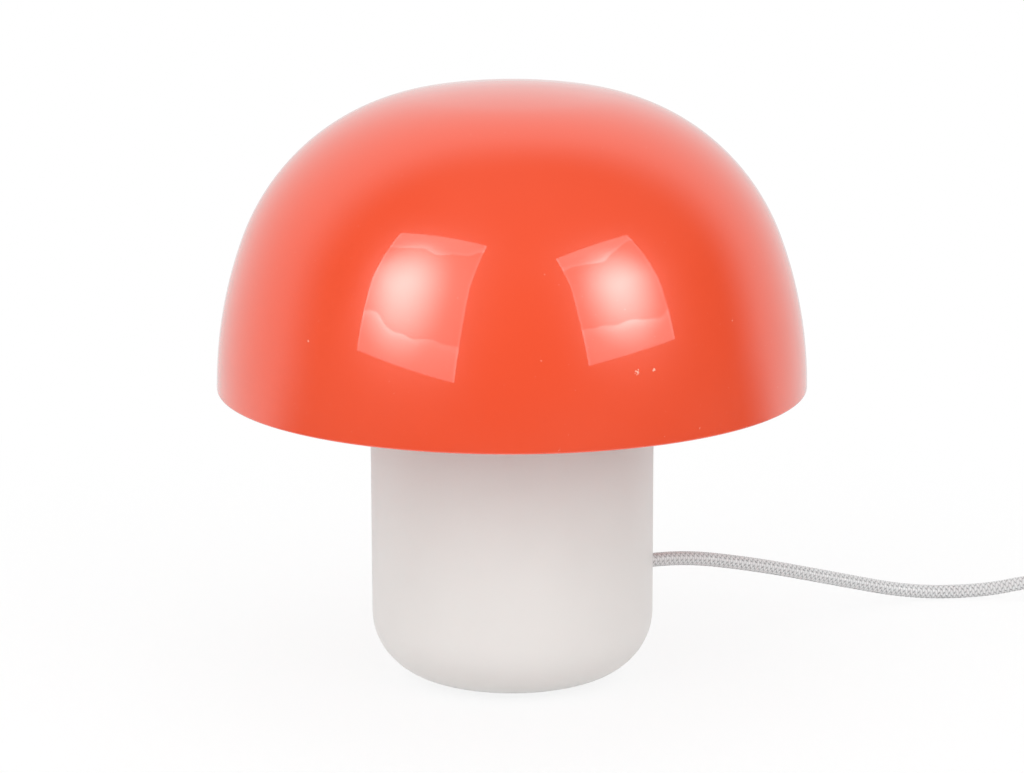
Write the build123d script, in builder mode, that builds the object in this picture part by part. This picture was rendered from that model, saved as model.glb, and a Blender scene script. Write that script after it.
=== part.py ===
from build123d import *
from math import asin, atan2, cos, degrees, dist, hypot, pi, radians, sin, sqrt, tan
import os

# Mushroom table lamp in millimetres. Origin: centre of the underside, on the table.
# +Z is up and the front is towards -Y. The cord leaves the base at the back right.

# Shade: a spun dome of sheet steel, drawn with three arcs that run into each other
shade_diameter = 250.0
shade_rise = 128.4
shade_wall = 1.0
crown_radius = 226.7
shoulder_radius = 96.0
side_radius = 181.9
rim_height = 126.4
hem_height = 4.0
hem_depth = 2.2
hem_round = 0.9

# Base: a deep-drawn can, closed by a dish that is let into its mouth
base_diameter = 120.5
base_height = 134.0
base_corner = 27.0
base_wall = 1.5
pad_thickness = 1.0
pad_inset = 2.0
dish_wall = 1.2
dish_floor = 112.0
dish_corner = 4.0
dish_lip_drop = 1.5

# Ballast inside the base
ballast_height = 16.0
ballast_round = 1.5
stud_radius = 4.0
stud_over_nut = 3.0
washer_thickness = 1.6
nut_height = 6.5
nut_width = 13.0

# Brackets that carry the dish, and their screws
fixing_count = 3
fixing_first = 90.0
fixing_from_wall = 9.65
bracket_arc = 20.0
bracket_height = 16.0
bracket_wall = 1.5
bracket_foot = 14.0
screw_radius = 2.0
screw_length = 10.0
screw_head_radius = 4.0
screw_head_height = 2.6
screw_slot_width = 1.0
screw_slot_depth = 1.2

# Threaded tube that holds the lampholder on the dish
nipple_radius = 5.0
nipple_bore = 3.6
nipple_below = 10.0
nipple_above = 8.0
nipple_nut_height = 4.0
nipple_nut_width = 14.0
nipple_washer_radius = 9.0

# Lampholder for a bulb with a 27 mm screw cap
cap_height = 24.0
cap_neck_radius = 8.5
cap_neck_height = 5.0
cap_radius = 19.0
cap_wall = 2.4
skirt_height = 32.0
skirt_radius = 19.5
skirt_wall = 2.2
skirt_shoulder_radius = 22.0
skirt_shoulder_height = 3.0
skirt_mouth_radius = 14.8
skirt_lip = 1.5
insert_depth = 6.0
insert_flange = 4.0
insert_boss = 5.0
insert_boss_radius = 15.4
shell_bore = 13.45
shell_wall = 0.45
shell_height = 17.0
contact_width = 4.5
contact_thickness = 0.5
contact_reach = 8.0
contact_rise = 1.9
ring_nut_height = 4.5
ring_nut_radius = 27.0
ring_nut_notches = 18
ring_nut_notch = 1.1

# Carrier: three welded rods with rubber tips that the shade rests on
carrier_plate = 2.5
carrier_plate_radius = 34.0
carrier_rod = 2.0
carrier_arms = 3
carrier_first = 30.0
carrier_weld_radius = 29.0
carrier_bend_distance = 50.0
carrier_bend = 16.0
tip_radius = 3.5
tip_length = 12.0
tip_angle = 50.0

# Bulb: small globe lamp
bulb_cap_radius = 13.1
bulb_thread_depth = 0.8
bulb_thread_pitch = 3.63
bulb_threads = 5
bulb_tip_radius = 4.8
bulb_tip_height = 1.6
bulb_insulator_height = 4.2
bulb_cap_skirt = 3.0
bulb_globe_radius = 22.5
bulb_length = 78.0
bulb_collar_seam = 7.0
bulb_collar_waist = 0.8
bulb_globe_wall = 1.2

# Cord, round with a woven cover
cord_diameter = 6.2
cord_azimuth = 32.0
cord_height = 38.5
bush_flange = 2.5
bush_flange_radius = 6.5
bush_shank_radius = 4.9
bush_inside = 5.2
bush_nut_height = 4.0
bush_nut_width = 14.0
wire_radius = 1.0
wire_spread = 8.0
wire_start = 1.5
wire_straight = 2.5
wire_bend = 1.4

# Cord inside the base: shares of the way out to the bush, and of the way up to the tube's top
lead_shares = ((0.72, 0.0), (0.44, 0.06), (0.21, 0.2), (0.065, 0.385), (0.0, 0.69))

# Switch in the cord
switch_at = (256.5, 108.0)
switch_heading = 0.0
straight_from_bush = 21.0
straight_to_switch = 18.0
straight_from_switch = 24.0
switch_length = 50.0
switch_width = 25.0
switch_height = 17.0
switch_round = 7.0
switch_wall = 1.8
switch_edge_below = 2.0
switch_edge_above = 3.5
sleeve_reach = 20.0
sleeve_neck = 4.5
sleeve_end = 4.0
sleeve_root = 5.4
sleeve_flange = 5.3
sleeve_flange_depth = 1.6
rocker_length = 19.0
rocker_width = 10.4
rocker_swing = 14.0
rocker_depth = 1.0
rocker_rise = 4.0
rocker_pivot_height = 12.2
rocker_axle = 1.5
window_end_gap = 0.9
window_side_gap = 0.3
window_frame = 1.4
window_frame_depth = 5.0
switch_screw_u = 18.0
switch_screw_v = 7.2
switch_boss = 3.6
switch_screw = 1.25
switch_screw_head = 2.3
switch_screw_head_height = 1.6
switch_screw_reach = 5.0

# Put-away coil: two layers, wound in below and out above
coil_centre = (361.0, 40.3)
coil_outer = 45.0
coil_pitch = 6.8
coil_half_turns_in = 6
coil_half_turns_out = 5
coil_check_step = 2.0
coil_check_apart = 60.0

# Flat two-pin plug
plug_axis = (407.0, -9.7)
plug_length = 36.0
plug_taper = 18.0
plug_width = 35.3
plug_thickness = 13.7
plug_tail = (13.0, 11.0)
plug_round = 4.0
straight_from_coil = 13.0
straight_to_plug = 12.0
plug_sleeve_length = 24.0
plug_sleeve_root = 5.4
plug_sleeve_end = 4.1
plug_sleeve_ribs = 6
pin_radius = 2.0
pin_length = 19.0
pin_spacing = 18.6
pin_cover_length = 10.0
pin_cover_radius = 1.75
pin_core_radius = 1.4
pin_round = 1.0

# Clearances
seat_gap = 0.1
slip_gap = 0.05
rest_gap = 0.3

# Sizes that follow from those above
shade_radius = shade_diameter / 2
base_radius = base_diameter / 2
base_inside = base_radius - base_wall
floor_inside = pad_thickness + base_wall
cord_radius = cord_diameter / 2
dish_under = dish_floor - dish_wall
dish_outside = base_inside - seat_gap
fixing_radius = dish_outside - fixing_from_wall
cap_top = dish_floor + cap_height
skirt_top = cap_top + skirt_height
carrier_floor = cap_top + skirt_shoulder_height
ring_nut_floor = carrier_floor + carrier_plate
insert_top = cap_top + insert_flange + insert_boss
bulb_low = insert_top + contact_rise + rest_gap
bulb_top = bulb_low + bulb_length
globe_centre = bulb_top - bulb_globe_radius
cap_shell_low = bulb_low + bulb_tip_height + bulb_insulator_height
cap_shell_top = cap_shell_low + bulb_threads * bulb_thread_pitch + bulb_cap_skirt
fixing_azimuths = [fixing_first + 360 * k / fixing_count for k in range(fixing_count)]
arm_azimuths = [carrier_first + 360 * k / carrier_arms for k in range(carrier_arms)]


def upright(azimuth, height=0):
    """A standing plane through the axis: x points outwards at the azimuth and y points up."""
    a = radians(azimuth)
    return Plane(origin=(0, 0, height), x_dir=(cos(a), sin(a), 0), z_dir=(sin(a), -cos(a), 0))


def finish(piece, name):
    """Labels the piece and writes its file."""
    piece.part.label = name
    export_step(piece.part, f"parts/{name}.step")


def ring(outer, inner, low, height):
    """A flat ring, or a disc where the inner radius is 0."""
    with BuildPart() as made:
        with BuildSketch(Plane.XY.offset(low)):
            Circle(outer)
            if inner:
                Circle(inner, mode=Mode.SUBTRACT)
        extrude(amount=height)
    return made


def hexagon(width, bore, low, height):
    """A six-sided nut whose outer corners are turned off."""
    corner = width / sqrt(3)
    bevel = corner - width / 2
    with BuildPart() as made:
        with BuildSketch(Plane.XY.offset(low)):
            RegularPolygon(radius=width / 2, side_count=6, major_radius=False)
            Circle(bore, mode=Mode.SUBTRACT)
        extrude(amount=height)
        with BuildSketch(Plane.XZ):
            with BuildLine():
                Polyline(
                    (bore / 2, low),
                    (width / 2, low),
                    (corner, low + bevel / 2),
                    (corner, low + height - bevel / 2),
                    (width / 2, low + height),
                    (bore / 2, low + height),
                    close=True,
                )
            make_face()
        revolve(axis=Axis.Z, mode=Mode.INTERSECT)
    return made


def turned(points):
    """A closed outline of straight lines, turned about the lamp's axis."""
    with BuildPart() as made:
        with BuildSketch(Plane.XZ):
            with BuildLine():
                Polyline(*points, close=True)
            make_face()
        revolve(axis=Axis.Z)
    return made


os.makedirs("parts", exist_ok=True)

# Shade
# The crown arc is centred on the axis and the side arc level with the rim, where the wall is upright.
# The shoulder arc touches both from inside.
crown_centre = (0.0, shade_rise - crown_radius)
side_centre = (shade_radius - side_radius, 0.0)
to_crown = crown_radius - shoulder_radius
to_side = side_radius - shoulder_radius
centres_apart = hypot(side_centre[0], crown_centre[1])
along = (to_crown**2 - to_side**2 + centres_apart**2) / (2 * centres_apart)
across = sqrt(to_crown**2 - along**2)
unit = (side_centre[0] / centres_apart, -crown_centre[1] / centres_apart)
shoulder_centre = (
    along * unit[0] + across * unit[1],
    crown_centre[1] + along * unit[1] - across * unit[0],
)
crown_turn = degrees(atan2(shoulder_centre[0], shoulder_centre[1] - crown_centre[1]))
side_turn = degrees(atan2(shoulder_centre[1], shoulder_centre[0] - side_centre[0]))


def dome_arcs(inset):
    """The dome's three arcs, this far inside its outer skin."""
    CenterArc(crown_centre, crown_radius - inset, 90 - crown_turn, crown_turn)
    CenterArc(shoulder_centre, shoulder_radius - inset, side_turn, 90 - crown_turn - side_turn)
    CenterArc(side_centre, side_radius - inset, 0, side_turn)


with BuildPart() as shade:
    with BuildSketch(upright(0, rim_height)):
        with BuildLine():
            dome_arcs(0)
            dome_arcs(shade_wall)
            Line((shade_radius, 0), (shade_radius - shade_wall, 0))
            Line((0, shade_rise), (0, shade_rise - shade_wall))
        make_face()
    revolve(axis=Axis.Z)
    with BuildSketch(upright(0, rim_height)):
        with BuildLine():
            Polyline(
                (shade_radius - hem_depth, 0),
                (shade_radius - shade_wall / 2, 0),
                (shade_radius - shade_wall / 2, hem_height),
                (shade_radius - hem_depth, hem_height),
                close=True,
            )
        make_face()
    revolve(axis=Axis.Z)
    fillet(shade.edges().filter_by(GeomType.CIRCLE).group_by(Axis.Z)[0], hem_round)
finish(shade, "shade")

# Base shell
bend_inside = base_corner - base_wall
with BuildPart() as base_shell:
    with BuildSketch(upright(0, pad_thickness)):
        with BuildLine():
            Line((0, 0), (base_radius - base_corner, 0))
            CenterArc((base_radius - base_corner, base_corner), base_corner, -90, 90)
            Polyline(
                (base_radius, base_corner),
                (base_radius, base_height - pad_thickness),
                (base_inside, base_height - pad_thickness),
                (base_inside, base_corner),
            )
            CenterArc((base_radius - base_corner, base_corner), bend_inside, -90, 90)
            Line((base_radius - base_corner, base_wall), (0, base_wall))
            Line((0, base_wall), (0, 0))
        make_face()
    revolve(axis=Axis.Z)
    fillet(base_shell.edges().filter_by(GeomType.CIRCLE).group_by(Axis.Z)[-1], base_wall * 0.45)
    with BuildSketch(
        Plane(
            origin=(0, 0, cord_height),
            x_dir=(-sin(radians(cord_azimuth)), cos(radians(cord_azimuth)), 0),
            z_dir=(cos(radians(cord_azimuth)), sin(radians(cord_azimuth)), 0),
        )
    ):
        Circle(bush_shank_radius + seat_gap)
    extrude(amount=shade_radius, mode=Mode.SUBTRACT)
finish(base_shell, "base_shell")

underside_pad = ring(base_radius - base_corner - pad_inset, 0, 0, pad_thickness)
finish(underside_pad, "underside_pad")

# Ballast, stud, washer and nut. The stud is welded to the floor of the can.
ballast_top = floor_inside + ballast_height
ballast_bend = bend_inside - rest_gap
bend_start = base_radius - base_corner
bend_middle = pad_thickness + base_corner
bend_stop = degrees(asin(min((ballast_top - bend_middle) / ballast_bend, 0)))
ballast_reach = bend_start + ballast_bend * cos(radians(bend_stop))
ballast_hole = stud_radius + seat_gap
with BuildPart() as ballast_weight:
    with BuildSketch(Plane.XZ):
        with BuildLine():
            Line((ballast_hole, floor_inside), (bend_start - 1, floor_inside))
            Line((bend_start - 1, floor_inside), (bend_start, floor_inside + rest_gap))
            CenterArc((bend_start, bend_middle), ballast_bend, -90, 90 + bend_stop)
            Polyline(
                (ballast_reach, bend_middle + ballast_bend * sin(radians(bend_stop))),
                (ballast_reach - ballast_round, ballast_top),
                (ballast_hole, ballast_top),
                (ballast_hole, floor_inside),
            )
        make_face()
    revolve(axis=Axis.Z)
finish(ballast_weight, "ballast_weight")

ballast_nut_low = ballast_top + washer_thickness
stud_length = ballast_height + washer_thickness + nut_height + stud_over_nut
ballast_stud = ring(stud_radius, 0, floor_inside, stud_length)
finish(ballast_stud, "ballast_stud")
ballast_washer = ring(2 * stud_radius, stud_radius + seat_gap, ballast_top, washer_thickness)
finish(ballast_washer, "ballast_washer")
ballast_nut = hexagon(nut_width, stud_radius + slip_gap, ballast_nut_low, nut_height)
finish(ballast_nut, "ballast_nut")

# Dish in the mouth of the can
dish_rim = base_height - dish_lip_drop
with BuildPart() as top_dish:
    with BuildSketch(Plane.XZ):
        with BuildLine():
            Line((0, dish_under), (dish_outside - dish_corner, dish_under))
            CenterArc((dish_outside - dish_corner, dish_under + dish_corner), dish_corner, -90, 90)
            Line((dish_outside, dish_under + dish_corner), (dish_outside, dish_rim))
            Line((dish_outside, dish_rim), (dish_outside - dish_wall, dish_rim))
            Line((dish_outside - dish_wall, dish_rim), (dish_outside - dish_wall, dish_under + dish_corner))
            CenterArc(
                (dish_outside - dish_corner, dish_under + dish_corner), dish_corner - dish_wall, -90, 90
            )
            Line((dish_outside - dish_corner, dish_floor), (0, dish_floor))
            Line((0, dish_floor), (0, dish_under))
        make_face()
    revolve(axis=Axis.Z)
    with BuildSketch(Plane.XY.offset(dish_floor)):
        Circle(nipple_radius + seat_gap)
        with PolarLocations(fixing_radius, fixing_count, start_angle=fixing_first):
            Circle(screw_radius + seat_gap)
    extrude(amount=-dish_wall, mode=Mode.SUBTRACT)
finish(top_dish, "top_dish")

# Brackets welded inside the can, with the dish's floor screwed to their feet
bracket_outside = base_inside - seat_gap
with BuildPart() as dish_brackets:
    for azimuth in fixing_azimuths:
        with BuildSketch(upright(azimuth - bracket_arc / 2)):
            with BuildLine():
                Polyline(
                    (bracket_outside, dish_under - bracket_height),
                    (bracket_outside, dish_under),
                    (bracket_outside - bracket_foot, dish_under),
                    (bracket_outside - bracket_foot, dish_under - bracket_wall),
                    (bracket_outside - bracket_wall, dish_under - bracket_wall),
                    (bracket_outside - bracket_wall, dish_under - bracket_height),
                    close=True,
                )
            make_face()
        revolve(axis=Axis.Z, revolution_arc=bracket_arc)
    with BuildSketch(Plane.XY.offset(dish_under)):
        with PolarLocations(fixing_radius, fixing_count, start_angle=fixing_first):
            Circle(screw_radius + slip_gap)
    extrude(amount=-bracket_wall, mode=Mode.SUBTRACT)
finish(dish_brackets, "dish_brackets")

with BuildPart() as dish_screws:
    with BuildSketch(Plane.XY.offset(dish_floor)):
        with PolarLocations(fixing_radius, fixing_count, start_angle=fixing_first):
            Circle(screw_head_radius)
    extrude(amount=screw_head_height)
    fillet(dish_screws.edges().filter_by(GeomType.CIRCLE).group_by(Axis.Z)[-1], screw_head_height * 0.5)
    with BuildSketch(Plane.XY.offset(dish_floor)):
        with PolarLocations(fixing_radius, fixing_count, start_angle=fixing_first):
            Circle(screw_radius)
    extrude(amount=-screw_length)
    with BuildSketch(Plane.XY.offset(dish_floor + screw_head_height)):
        with PolarLocations(fixing_radius, fixing_count, start_angle=fixing_first):
            Rectangle(2.5 * screw_radius, screw_slot_width)
            Rectangle(screw_slot_width, 2.5 * screw_radius)
    extrude(amount=-screw_slot_depth, mode=Mode.SUBTRACT)
finish(dish_screws, "dish_screws")

# Threaded tube, its washer and its nut
nipple_low = dish_under - nipple_below
threaded_nipple = ring(nipple_radius, nipple_bore, nipple_low, dish_wall + nipple_below + nipple_above)
finish(threaded_nipple, "threaded_nipple")
nipple_washer = ring(
    nipple_washer_radius, nipple_radius + seat_gap, dish_under - washer_thickness, washer_thickness
)
finish(nipple_washer, "nipple_washer")
nipple_nut_low = dish_under - washer_thickness - nipple_nut_height
nipple_nut = hexagon(nipple_nut_width, nipple_radius + slip_gap, nipple_nut_low, nipple_nut_height)
finish(nipple_nut, "nipple_nut")

# Lampholder: cap, insert, screw shell, centre contact and skirt
cap_inside = cap_radius - cap_wall
neck_top = dish_floor + cap_neck_height
flare_top = neck_top + cap_radius - cap_neck_radius
with BuildPart() as holder_cap:
    with BuildSketch(Plane.XZ):
        with BuildLine():
            Polyline(
                (nipple_radius + slip_gap, dish_floor),
                (cap_neck_radius, dish_floor),
                (cap_neck_radius, neck_top),
            )
            CenterArc((cap_neck_radius, flare_top), cap_radius - cap_neck_radius, -90, 90)
            Polyline(
                (cap_radius, flare_top),
                (cap_radius, cap_top),
                (cap_inside, cap_top),
                (cap_inside, flare_top),
            )
            CenterArc((cap_neck_radius, flare_top), cap_inside - cap_neck_radius, -90, 90)
            Polyline(
                (cap_neck_radius, neck_top + cap_wall),
                (nipple_radius + slip_gap, neck_top + cap_wall),
                (nipple_radius + slip_gap, dish_floor),
            )
        make_face()
    revolve(axis=Axis.Z)
finish(holder_cap, "holder_cap")

insert_low = cap_top - insert_depth
skirt_inside = skirt_radius - skirt_wall
insert_flange_radius = skirt_inside - seat_gap
holder_insert = turned(
    [
        (0, insert_low),
        (cap_inside - seat_gap, insert_low),
        (cap_inside - seat_gap, cap_top),
        (insert_flange_radius, cap_top),
        (insert_flange_radius, cap_top + insert_flange),
        (insert_boss_radius, cap_top + insert_flange),
        (insert_boss_radius, insert_top),
        (0, insert_top),
    ]
)
finish(holder_insert, "holder_insert")

screw_shell = ring(shell_bore + shell_wall, shell_bore, insert_top, shell_height)
finish(screw_shell, "screw_shell")

with BuildPart() as centre_contact:
    with BuildSketch(upright(0, insert_top)):
        with BuildLine():
            Polyline(
                (contact_reach, 0),
                (contact_reach, contact_thickness),
                (contact_reach / 2, contact_thickness),
                (contact_width / 2, contact_rise),
                (-contact_width / 2, contact_rise),
                (-contact_width / 2, contact_rise - contact_thickness),
                (contact_width / 2 - contact_thickness / 2, contact_rise - contact_thickness),
                (contact_reach / 2 - contact_thickness, 0),
                close=True,
            )
        make_face()
    extrude(amount=contact_width / 2, both=True)
finish(centre_contact, "centre_contact")

holder_skirt = turned(
    [
        (skirt_inside, cap_top),
        (skirt_shoulder_radius, cap_top),
        (skirt_shoulder_radius, carrier_floor),
        (skirt_radius, carrier_floor),
        (skirt_radius, skirt_top - skirt_lip / 2),
        (skirt_radius - skirt_lip / 2, skirt_top),
        (skirt_mouth_radius, skirt_top),
        (skirt_mouth_radius, skirt_top - skirt_lip),
        (skirt_inside, skirt_top - skirt_lip),
    ]
)
finish(holder_skirt, "holder_skirt")

with BuildPart() as ring_nut:
    with BuildSketch(Plane.XY.offset(ring_nut_floor)):
        Circle(ring_nut_radius)
        Circle(skirt_radius + slip_gap, mode=Mode.SUBTRACT)
        with PolarLocations(ring_nut_radius, ring_nut_notches):
            Circle(ring_nut_notch, mode=Mode.SUBTRACT)
    extrude(amount=ring_nut_height)
finish(ring_nut, "ring_nut")

# Carrier plate with its arms. Each arm ends at the centre of its tip's round end.
# A tip's round end is the resting gap short of the shade's inner skin.
tip_from_centre = shoulder_radius - shade_wall - rest_gap - tip_radius
tip_out = shoulder_centre[0] + tip_from_centre * sin(radians(tip_angle))
tip_up = rim_height + shoulder_centre[1] + tip_from_centre * cos(radians(tip_angle))
arm_height = carrier_floor + carrier_plate / 2
arm_slope = atan2(tip_up - arm_height, tip_out - carrier_bend_distance)
with BuildPart() as shade_carrier:
    with BuildSketch(Plane.XY.offset(carrier_floor)):
        Circle(carrier_plate_radius)
        Circle(skirt_radius + seat_gap, mode=Mode.SUBTRACT)
    extrude(amount=carrier_plate)
    for azimuth in arm_azimuths:
        with BuildLine(upright(azimuth)) as arm:
            FilletPolyline(
                (carrier_weld_radius, arm_height),
                (carrier_bend_distance, arm_height),
                (tip_out, tip_up),
                radius=carrier_bend,
            )
        with BuildSketch(arm.line ^ 0):
            Circle(carrier_rod)
        sweep(path=arm.line)
finish(shade_carrier, "shade_carrier")

with BuildPart() as carrier_tips:
    for azimuth in arm_azimuths:
        here = upright(azimuth)
        tip_place = here.from_local_coords(Vector(tip_out, tip_up, 0))
        tip_course = here.x_dir * cos(arm_slope) + here.y_dir * sin(arm_slope)
        with BuildSketch(Plane(origin=tip_place, x_dir=tip_course, z_dir=here.z_dir)):
            with BuildLine():
                Line((tip_radius, 0), (0, 0))
                Line((0, 0), (0, carrier_rod + slip_gap))
                Line((0, carrier_rod + slip_gap), (-tip_length, carrier_rod + slip_gap))
                Line((-tip_length, carrier_rod + slip_gap), (-tip_length, tip_radius))
                Line((-tip_length, tip_radius), (0, tip_radius))
                CenterArc((0, 0), tip_radius, 0, 90)
            make_face()
        revolve(axis=Axis(tip_place, tip_course))
finish(carrier_tips, "carrier_tips")

# Bulb
with BuildPart() as bulb_cap:
    with BuildSketch(Plane.XZ):
        with BuildLine():
            root = bulb_cap_radius - bulb_thread_depth
            for k in range(bulb_threads):
                low = cap_shell_low + k * bulb_thread_pitch
                ThreePointArc(
                    (root, low),
                    (bulb_cap_radius, low + bulb_thread_pitch / 2),
                    (root, low + bulb_thread_pitch),
                )
            Polyline(
                (root, cap_shell_low + bulb_threads * bulb_thread_pitch),
                (root, cap_shell_top),
                (root - 1, cap_shell_top),
                (root - 1, cap_shell_low),
                (root, cap_shell_low),
            )
        make_face()
    revolve(axis=Axis.Z)
finish(bulb_cap, "bulb_cap")

tip_top = bulb_low + bulb_tip_height
bulb_insulator = turned(
    [
        (0, tip_top),
        (bulb_tip_radius + 1, tip_top),
        (bulb_cap_radius - bulb_thread_depth, cap_shell_low),
        (0, cap_shell_low),
    ]
)
finish(bulb_insulator, "bulb_insulator")
with BuildPart() as bulb_contact:
    with BuildSketch(Plane.XY.offset(bulb_low)):
        Circle(bulb_tip_radius)
    extrude(amount=bulb_tip_height)
    fillet(bulb_contact.edges().group_by(Axis.Z)[0], bulb_tip_height * 0.6)
finish(bulb_contact, "bulb_contact")

# The collar flares from the cap to the globe, and the globe is a thin shell above its seam
seam_height = globe_centre - bulb_collar_seam
seam_radius = sqrt(bulb_globe_radius**2 - bulb_collar_seam**2)
collar_low_radius = bulb_cap_radius + 0.9
with BuildPart() as bulb_collar:
    with BuildSketch(Plane.XZ):
        with BuildLine():
            Line((0, cap_shell_top), (collar_low_radius, cap_shell_top))
            ThreePointArc(
                (collar_low_radius, cap_shell_top),
                (
                    (collar_low_radius + seam_radius) / 2 - bulb_collar_waist,
                    (cap_shell_top + seam_height) / 2,
                ),
                (seam_radius, seam_height),
            )
            Line((seam_radius, seam_height), (0, seam_height))
            Line((0, seam_height), (0, cap_shell_top))
        make_face()
    revolve(axis=Axis.Z)
finish(bulb_collar, "bulb_collar")

seam_angle = degrees(atan2(bulb_collar_seam, seam_radius))
globe_inside = bulb_globe_radius - bulb_globe_wall
seam_inside = sqrt(globe_inside**2 - bulb_collar_seam**2)
inside_angle = degrees(atan2(bulb_collar_seam, seam_inside))
with BuildPart() as bulb_globe:
    with BuildSketch(upright(0, globe_centre)):
        with BuildLine():
            CenterArc((0, 0), bulb_globe_radius, -seam_angle, 90 + seam_angle)
            CenterArc((0, 0), globe_inside, -inside_angle, 90 + inside_angle)
            Line((0, bulb_globe_radius), (0, globe_inside))
            Line((seam_radius, -bulb_collar_seam), (seam_inside, -bulb_collar_seam))
        make_face()
    revolve(axis=Axis.Z)
finish(bulb_globe, "bulb_globe")

# Cord bush through the wall, and its nut inside
cord_out = Vector(cos(radians(cord_azimuth)), sin(radians(cord_azimuth)), 0)
cord_side = Vector(-sin(radians(cord_azimuth)), cos(radians(cord_azimuth)), 0)
cord_plane = Plane(origin=(0, 0, cord_height), x_dir=cord_side, z_dir=cord_out)
cord_face = base_radius + bush_flange
bush_end = base_inside - bush_inside
with BuildPart() as cord_bush:
    with BuildSketch(cord_plane.offset(base_radius)):
        Circle(bush_flange_radius)
    extrude(amount=bush_flange)
    fillet(cord_bush.edges().sort_by(Axis(cord_plane.origin, cord_out))[-1], bush_flange * 0.5)
    with BuildSketch(cord_plane.offset(base_radius)):
        Circle(bush_shank_radius)
    extrude(amount=bush_end - base_radius)
    with BuildSketch(cord_plane.offset(cord_face)):
        Circle(cord_radius + slip_gap)
    extrude(amount=bush_end - cord_face, mode=Mode.SUBTRACT)
finish(cord_bush, "cord_bush")

bush_nut_corner = bush_nut_width / sqrt(3)
bush_nut_face = sqrt(base_inside**2 - bush_nut_corner**2) - slip_gap
with BuildPart() as bush_nut:
    with BuildSketch(cord_plane.offset(bush_nut_face)):
        RegularPolygon(radius=bush_nut_width / 2, side_count=6, major_radius=False)
        Circle(bush_shank_radius + slip_gap, mode=Mode.SUBTRACT)
    extrude(amount=-bush_nut_height)
finish(bush_nut, "bush_nut")


def bends(route):
    """The largest radius that each corner's two runs allow, as a share of the shorter run."""
    radii = []
    for before, here, after in zip(route, route[1:], route[2:]):
        arriving = Vector(*here) - Vector(*before)
        leaving = Vector(*after) - Vector(*here)
        half_turn = radians(arriving.get_angle(leaving)) / 2
        radii.append(0.45 * min(arriving.length, leaving.length) / tan(half_turn))
    return radii


def tube(route, radius, name):
    """A round tube along straight runs joined by tangent arcs."""
    radii = bends(route)
    with BuildPart() as made:
        with BuildLine() as path:
            FilletPolyline(*route, radius=radii)
        with BuildSketch(path.line ^ 0):
            Circle(radius)
        sweep(path=path.line)
    length = path.wire().length
    swept = pi * radius**2 * length
    print(name, "radii", [round(r, 1) for r in radii], "length", round(length, 2))
    print(name, "volume over section times length", round(made.part.volume / swept, 5))
    return made


def along_cord(out, height):
    """A point this far from the lamp's axis, over the line on which the cord leaves."""
    return (out * cord_out.X, out * cord_out.Y, height)


# Stretch of the cord inside the base, up into the threaded tube
lead_top = dish_floor + nipple_above
inner_route = [along_cord(cord_face, cord_height)]
for out_share, up_share in lead_shares:
    inner_route.append(along_cord(out_share * cord_face, cord_height + up_share * (lead_top - cord_height)))
inner_route.append((0.0, 0.0, lead_top))
inner_lead = tube(inner_route, cord_radius, "inner_lead")
finish(inner_lead, "inner_lead")

# Two cores from the lead's end to the lampholder's insert
with BuildPart() as core_wires:
    for side in (-1, 1):
        with BuildLine() as core:
            FilletPolyline(
                (side * wire_start, 0, lead_top),
                (side * wire_start, 0, lead_top + wire_straight),
                (side * wire_spread, 0, insert_low - wire_straight),
                (side * wire_spread, 0, insert_low),
                radius=wire_bend,
            )
        with BuildSketch(core.line ^ 0):
            Circle(wire_radius)
        sweep(path=core.line)
finish(core_wires, "core_wires")

# Free cord from the bush to the switch
switch_axis_height = switch_height / 2
heading = radians(switch_heading)
switch_ahead = (cos(heading), sin(heading))
switch_reach = switch_length + 2 * sleeve_reach


def on_switch(run):
    """A point on the switch's cord line, this far past its first sleeve's end."""
    return (switch_at[0] + run * switch_ahead[0], switch_at[1] + run * switch_ahead[1], switch_axis_height)


out_route = [
    along_cord(cord_face, cord_height),
    along_cord(cord_face + straight_from_bush, cord_height),
    (106.9, 66.8, 28.6),
    (146.0, 90.7, 14.8),
    (183.0, 107.5, cord_radius),
    (217.0, 110.0, cord_radius),
    on_switch(-straight_to_switch),
    on_switch(0.0),
]
cord_to_switch = tube(out_route, cord_radius, "cord_to_switch")
finish(cord_to_switch, "cord_to_switch")

# Switch: lower shell, upper shell, rocker, sleeves and screws
switch_plane = Plane(
    origin=on_switch(switch_reach / 2)[:2] + (0,),
    x_dir=(switch_ahead[0], switch_ahead[1], 0),
    z_dir=(0, 0, 1),
)
switch_cavity = (switch_length - 2 * switch_wall, switch_width - 2 * switch_wall)
switch_bosses = [(-switch_screw_u, switch_screw_v), (switch_screw_u, -switch_screw_v)]
switch_end_plane = Plane(
    origin=on_switch(switch_reach / 2), x_dir=switch_plane.y_dir, z_dir=switch_plane.x_dir
)
head_room = switch_screw_head_height + seat_gap

with BuildPart() as switch_base:
    with BuildSketch(switch_plane):
        RectangleRounded(switch_length, switch_width, switch_round)
    extrude(amount=switch_axis_height)
    fillet(switch_base.edges().group_by(Axis.Z)[0], switch_edge_below)
    with BuildSketch(switch_plane.offset(switch_wall)):
        RectangleRounded(*switch_cavity, switch_round - switch_wall)
    extrude(amount=switch_height, mode=Mode.SUBTRACT)
    with BuildSketch(switch_plane.offset(switch_wall)):
        with Locations(*switch_bosses):
            Circle(switch_boss)
    extrude(amount=switch_axis_height - switch_wall)
    with BuildSketch(switch_plane):
        with Locations(*switch_bosses):
            Circle(switch_screw_head + seat_gap)
    extrude(amount=head_room, mode=Mode.SUBTRACT)
    with BuildSketch(switch_plane):
        with Locations(*switch_bosses):
            Circle(switch_screw + seat_gap)
    extrude(amount=switch_height, mode=Mode.SUBTRACT)
    with BuildSketch(switch_end_plane):
        Circle(sleeve_neck + slip_gap)
    extrude(amount=switch_length, both=True, mode=Mode.SUBTRACT)
finish(switch_base, "switch_base")

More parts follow.
